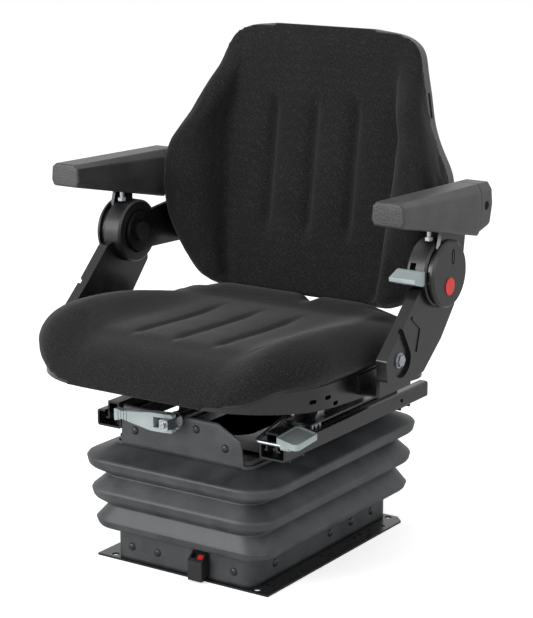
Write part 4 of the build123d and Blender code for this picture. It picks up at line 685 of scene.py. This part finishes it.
def pad_section(count):
    """Cross-section of an armrest in half widths and shares of its height, with its corners rounded.

    Going round: flat top, bevelled top edges, upright sides to the crease, and a lower half that leans in.
    """
    half = np.array([(18.0, 1.0), (24.6, 0.84), (26.2, pad_crease), (22.8, 0.05), (20.0, 0.0)])
    corners = np.concatenate([half, half[::-1] * (-1, 1)])
    loop = even_loop(corners * (1, 45), 400) / (1, 45)
    for _ in range(5):
        loop = (np.roll(loop, 1, 0) + 2 * loop + np.roll(loop, -1, 0)) / 4
    return even_loop(loop * (1, 45), count) / (1, 45)


def pad_rings(y0, y1, front_round, rear_round):
    """Rings of an armrest piece along Y, drawn in at both ends as quarter circles.

    The bottom falls towards the rear, the cap's bottom rises again, and the side's crease rises to the rear.
    """
    section = pad_section(96)
    rings = []
    ends = [(1 - math.sin(a), 1 - math.cos(a)) for a in np.radians(np.linspace(0, 90, 8)).tolist()]
    front = [(y0 + front_round * along, front_round * inset) for along, inset in ends[::-1]]
    rear = [(y1 - rear_round * along, rear_round * inset) for along, inset in ends]
    middle = [(y, 0.0) for y in np.linspace(y0 + front_round, y1 - rear_round, 24)[1:-1].tolist()]
    for y, inset in front + middle + rear:
        bottom = np.interp(y, (pad_front_y, pad_rear_y, pad_rear_y + 1, cap_rear_y), (528, 481, 485, 493))
        top = np.interp(y, (pad_front_y, cap_rear_y), (562, 556))
        x = section[:, 0] * (pad_half_width - inset) / pad_half_width
        crease = np.interp(y, (pad_front_y, pad_rear_y), (0.24, 0.5))
        share = np.interp(section[:, 1], (0, pad_crease, 0.84, 1), (0, crease, 0.84, 1))
        z = bottom + inset + share * (top - bottom - 2 * inset)
        rings.append(np.column_stack([x + pad_middle_x, np.full(len(x), y), z]))
    return np.array(rings)


# Operators

class SeatSizes(bpy.types.PropertyGroup):
    """Sizes of the upholstery."""

    dish: bpy.props.FloatProperty(
        name="Seat dish", description="Depth of the seat's middle, mm", default=25.0)
    channel_pitch: bpy.props.FloatProperty(
        name="Seat channel spacing", description="Between the seat's sewn channels, mm", default=70.0)
    channel_depth: bpy.props.FloatProperty(
        name="Seat channel depth", description="Depth of a channel in the seat, mm", default=4.5)
    back_pitch: bpy.props.FloatProperty(
        name="Back channel spacing", description="Between the backrest's channels, mm", default=73.0)
    back_channel_depth: bpy.props.FloatProperty(
        name="Back channel depth", description="Depth of a channel in the backrest, mm", default=7.0)


class SEAT_OT_cushion(bpy.types.Operator):
    """Seat cushion: foam under woven cloth, blown up as cloth, with three sewn channels."""

    bl_idname = "seat.cushion"
    bl_label = "Seat cushion"

    def execute(self, context):
        sizes = context.scene.seat_sizes
        piece = ring_solid("seat_cover", seat_form(sizes))
        inflate(piece, lambda p: (p[:, 2] < pan_rim(p[:, 1]) + 4) * 1.0, 4.0, 5.0)
        points = read_points(piece.data) * 1000
        top = smooth_step(points[:, 2], 325, 335)
        points[:, 2] -= seat_channels(points, sizes) * top
        write_points(piece.data, points / 1000)
        subdivide(piece)
        finish_piece(piece, "seat", "seat_fabric", materials["seat_fabric"], "seat_cushion")
        pan = ring_solid("pan_skin", pan_rings())
        for side in (-1, 1):
            cut(pan, *[
                (round_line((side * 232, y, z), 3, 12, (0, 1, 0), (0, 0, 1)), (14, 0, 0))
                for y, z in ((-196, 299), (-168, 300), (-150, 288))
            ])
        cut(pan, *[
            (round_line((x, y, 277), 16, 0, (1, 0, 0), (0, 1, 0)), (0, 0, 14))
            for x in (-75, 75) for y in (-165, -15)
        ])
        shade_flat_edges(pan)
        finish_piece(pan, "seat", "black_steel", materials["black_steel"], "seat_pan")
        return {"FINISHED"}


class SEAT_OT_back(bpy.types.Operator):
    """Back cushion: foam under woven cloth with wings and three upright channels."""

    bl_idname = "seat.back"
    bl_label = "Back cushion"

    def execute(self, context):
        sizes = context.scene.seat_sizes
        piece = ring_solid("back_cover", back_form(sizes))
        inflate(piece, lambda p: (to_back(p)[:, 1] > foam_rear - 4) * 1.0, 4.0, 4.0)
        points = to_back(read_points(piece.data) * 1000)
        points[:, 1] += back_channels(points, sizes)
        write_points(piece.data, to_seat(points) / 1000)
        subdivide(piece)
        finish_piece(piece, "backrest", "seat_fabric", materials["seat_fabric"], "back_cushion")
        return {"FINISHED"}


class SEAT_OT_boot(bpy.types.Operator):
    """Rubber boot: the lobes stand on the base, the upper collar rides on the tray."""

    bl_idname = "seat.boot"
    bl_label = "Rubber boot"

    def execute(self, context):
        z = np.concatenate([
            np.linspace(boot_bottom_z, lobes_bottom_z - 1, 9), np.linspace(lobes_bottom_z, boot_top_z, 96),
        ])
        outer, inner = boot_rings(z, 0.0), boot_rings(z, boot_wall)
        piece = ring_torus("boot_lobes", np.concatenate([outer, inner[::-1]]))
        finish_piece(piece, "base", "bellows_rubber", materials["bellows_rubber"], "bellows")
        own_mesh(piece)
        collar = ring_torus("boot_collar", collar_rings())
        place = (spindle_at[0], 1 - boot_half_y, spindle_at[1])
        cut(collar, (round_line(place, spindle_hole_radius, 0, (1, 0, 0), (0, 0, 1)), (0, 12, 0)))
        finish_piece(collar, "upper_frame", "bellows_rubber", materials["bellows_rubber"], "bellows")
        return {"FINISHED"}


class SEAT_OT_armrests(bpy.types.Operator):
    """Armrest pads and their end caps, with soft bevelled edges."""

    bl_idname = "seat.armrests"
    bl_label = "Armrests"

    def execute(self, context):
        pieces = (
            ("pad", pad_front_y, pad_rear_y, (3.5, 1.0)), ("cap", pad_rear_y + 0.5, cap_rear_y, (1.0, 5.0)),
        )
        for side, word in ((1, "right"), (-1, "left")):
            for part, y0, y1, rounds in pieces:
                rings = pad_rings(y0, y1, *rounds) * (side, 1, 1)
                piece = ring_solid("armrest_" + part + "_skin_" + word, rings)
                if part == "cap":
                    place = (side * (pad_middle_x + pad_half_width), 142, 524)
                    cut(piece, (round_line(place, 6.5, 0, (0, 1, 0), (0, 0, 1)), (5, 0, 0)))
                shade_flat_edges(piece, 28)
                finish = materials["grey_plastic"]
                finish_piece(piece, "armrest_" + word, "grey_plastic", finish, f"armrest_{part}_{word}")
        return {"FINISHED"}


class SEAT_OT_finishes(bpy.types.Operator):
    """Gives every CAD node the finish of its material slot."""

    bl_idname = "seat.finishes"
    bl_label = "Finishes"

    def execute(self, context):
        slots = {row["node"]: row["material_slot"] for row in frame["record"]["subparts"]}
        for name, node in frame["nodes"].items():
            node.data.materials.clear()
            node.data.materials.append(materials[slots[name]])
        return {"FINISHED"}


class SEAT_OT_stage(bpy.types.Operator):
    """Pale floor, white surroundings, soft lamps and the camera."""

    bl_idname = "seat.stage"
    bl_label = "Stage"

    def execute(self, context):
        scene = context.scene
        scene.view_settings.view_transform = "Standard"
        grid = np.array([(-6, -6, 0), (6, -6, 0), (6, 6, 0), (-6, 6, 0)], float)
        floor = make_object("floor", grid, [(0, 1, 2, 3)], smooth=False)
        floor.data.materials.append(floor_finish())
        world = bpy.data.worlds.new("studio")
        scene.world = world
        world.use_nodes = True
        tree = world.node_tree
        tree.nodes.clear()
        path = add(tree, "ShaderNodeLightPath")
        seen = add(tree, "ShaderNodeMath", {
            0: path.outputs["Is Camera Ray"], 1: path.outputs["Is Glossy Ray"],
        }, operation="MAXIMUM")
        seen = add(tree, "ShaderNodeMath", {
            0: seen.outputs[0], 1: path.outputs["Is Transmission Ray"],
        }, operation="MAXIMUM")
        plain = add(tree, "ShaderNodeBackground", {"Color": (1, 1, 1, 1), "Strength": 0.55})
        white = add(tree, "ShaderNodeBackground", {"Color": (1, 1, 1, 1), "Strength": 1.0})
        mix = add(tree, "ShaderNodeMixShader", {
            "Fac": seen.outputs[0], 1: plain.outputs[0], 2: white.outputs[0],
        })
        add(tree, "ShaderNodeOutputWorld", {"Surface": mix.outputs[0]})
        lamp("key", (-1.4, -2.6, 1.3), 1.6, 64)
        lamp("fill", (2.4, -1.0, 1.5), 1.6, 16)
        lamp("top", (0.2, 0.3, 2.8), 1.8, 9)
        place_camera(scene)
        return {"FINISHED"}


def floor_finish():
    """Matt white paper: seen nearly white by the camera, with the object's soft shadow."""
    material = bpy.data.materials.new("white_paper_floor")
    material.use_nodes = True
    tree = material.node_tree
    tree.nodes.clear()
    path = add(tree, "ShaderNodeLightPath")
    coords = add(tree, "ShaderNodeTexCoord").outputs["Object"]
    fibre = add(tree, "ShaderNodeTexNoise", {"Vector": coords, "Scale": 40.0})
    colour = ramp(tree, fibre.outputs["Fac"], [(0.0, "#f6f6f6"), (1.0, "#fafafa")])
    paper = add(tree, "ShaderNodeBsdfDiffuse", {"Color": colour})
    glow = add(tree, "ShaderNodeEmission", {"Color": (1, 1, 1, 1), "Strength": 0.55})
    both = add(tree, "ShaderNodeAddShader", {0: paper.outputs[0], 1: glow.outputs[0]})
    mix = add(tree, "ShaderNodeMixShader", {
        "Fac": path.outputs["Is Camera Ray"], 1: paper.outputs[0], 2: both.outputs[0],
    })
    add(tree, "ShaderNodeOutputMaterial", {"Surface": mix.outputs[0]})
    return material


def lamp(name, place, size, power):
    """Square soft lamp that faces the seat."""
    data = bpy.data.lights.new(name, "AREA")
    data.shape = "SQUARE"
    data.size = size
    data.energy = power
    holder = bpy.data.objects.new(name, data)
    bpy.context.scene.collection.objects.link(holder)
    holder.location = place
    holder.rotation_euler = (Vector((0, 0, 0.38)) - Vector(place)).to_track_quat("-Z", "Y").to_euler()


def place_camera(scene):
    """Camera at the photograph's angle and distance."""
    data = bpy.data.cameras.new("camera")
    # The photo is 618 pixels high, and the focal length that its vanishing points give is 1995 pixels
    data.sensor_width = 36.0
    data.lens = 1995 / 618 * data.sensor_width
    data.clip_end = 50
    holder = bpy.data.objects.new("camera", data)
    scene.collection.objects.link(holder)
    holder.location = (1.61697, -2.37608, 1.0600)
    turn, tilt = math.radians(33.9), math.radians(13.73)
    forward = Vector((-math.sin(turn) * math.cos(tilt), math.cos(turn) * math.cos(tilt), -math.sin(tilt)))
    holder.rotation_euler = forward.to_track_quat("-Z", "Y").to_euler()
    scene.camera = holder


steps = (SEAT_OT_finishes, SEAT_OT_cushion, SEAT_OT_back, SEAT_OT_boot, SEAT_OT_armrests, SEAT_OT_stage)


class SEAT_PT_panel(bpy.types.Panel):
    """Lists the seat's steps and sizes."""

    bl_label = "Seat"
    bl_space_type = "VIEW_3D"
    bl_region_type = "UI"
    bl_category = "Seat"

    def draw(self, context):
        for step in steps:
            self.layout.operator(step.bl_idname)
        for name in SeatSizes.__annotations__:
            self.layout.prop(context.scene.seat_sizes, name)


classes = (SeatSizes, *steps, SEAT_PT_panel)
materials = {}


def register():
    for item in classes:
        bpy.utils.register_class(item)
    bpy.types.Scene.seat_sizes = bpy.props.PointerProperty(type=SeatSizes)


def unregister():
    del bpy.types.Scene.seat_sizes
    for item in reversed(classes):
        bpy.utils.unregister_class(item)


def main():
    """Registers the add-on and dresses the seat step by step."""
    register()
    materials.update(finishes())
    for step in steps:
        group, name = step.bl_idname.split(".")
        getattr(getattr(bpy.ops, group), name)()


if __name__ == "__main__":
    main()
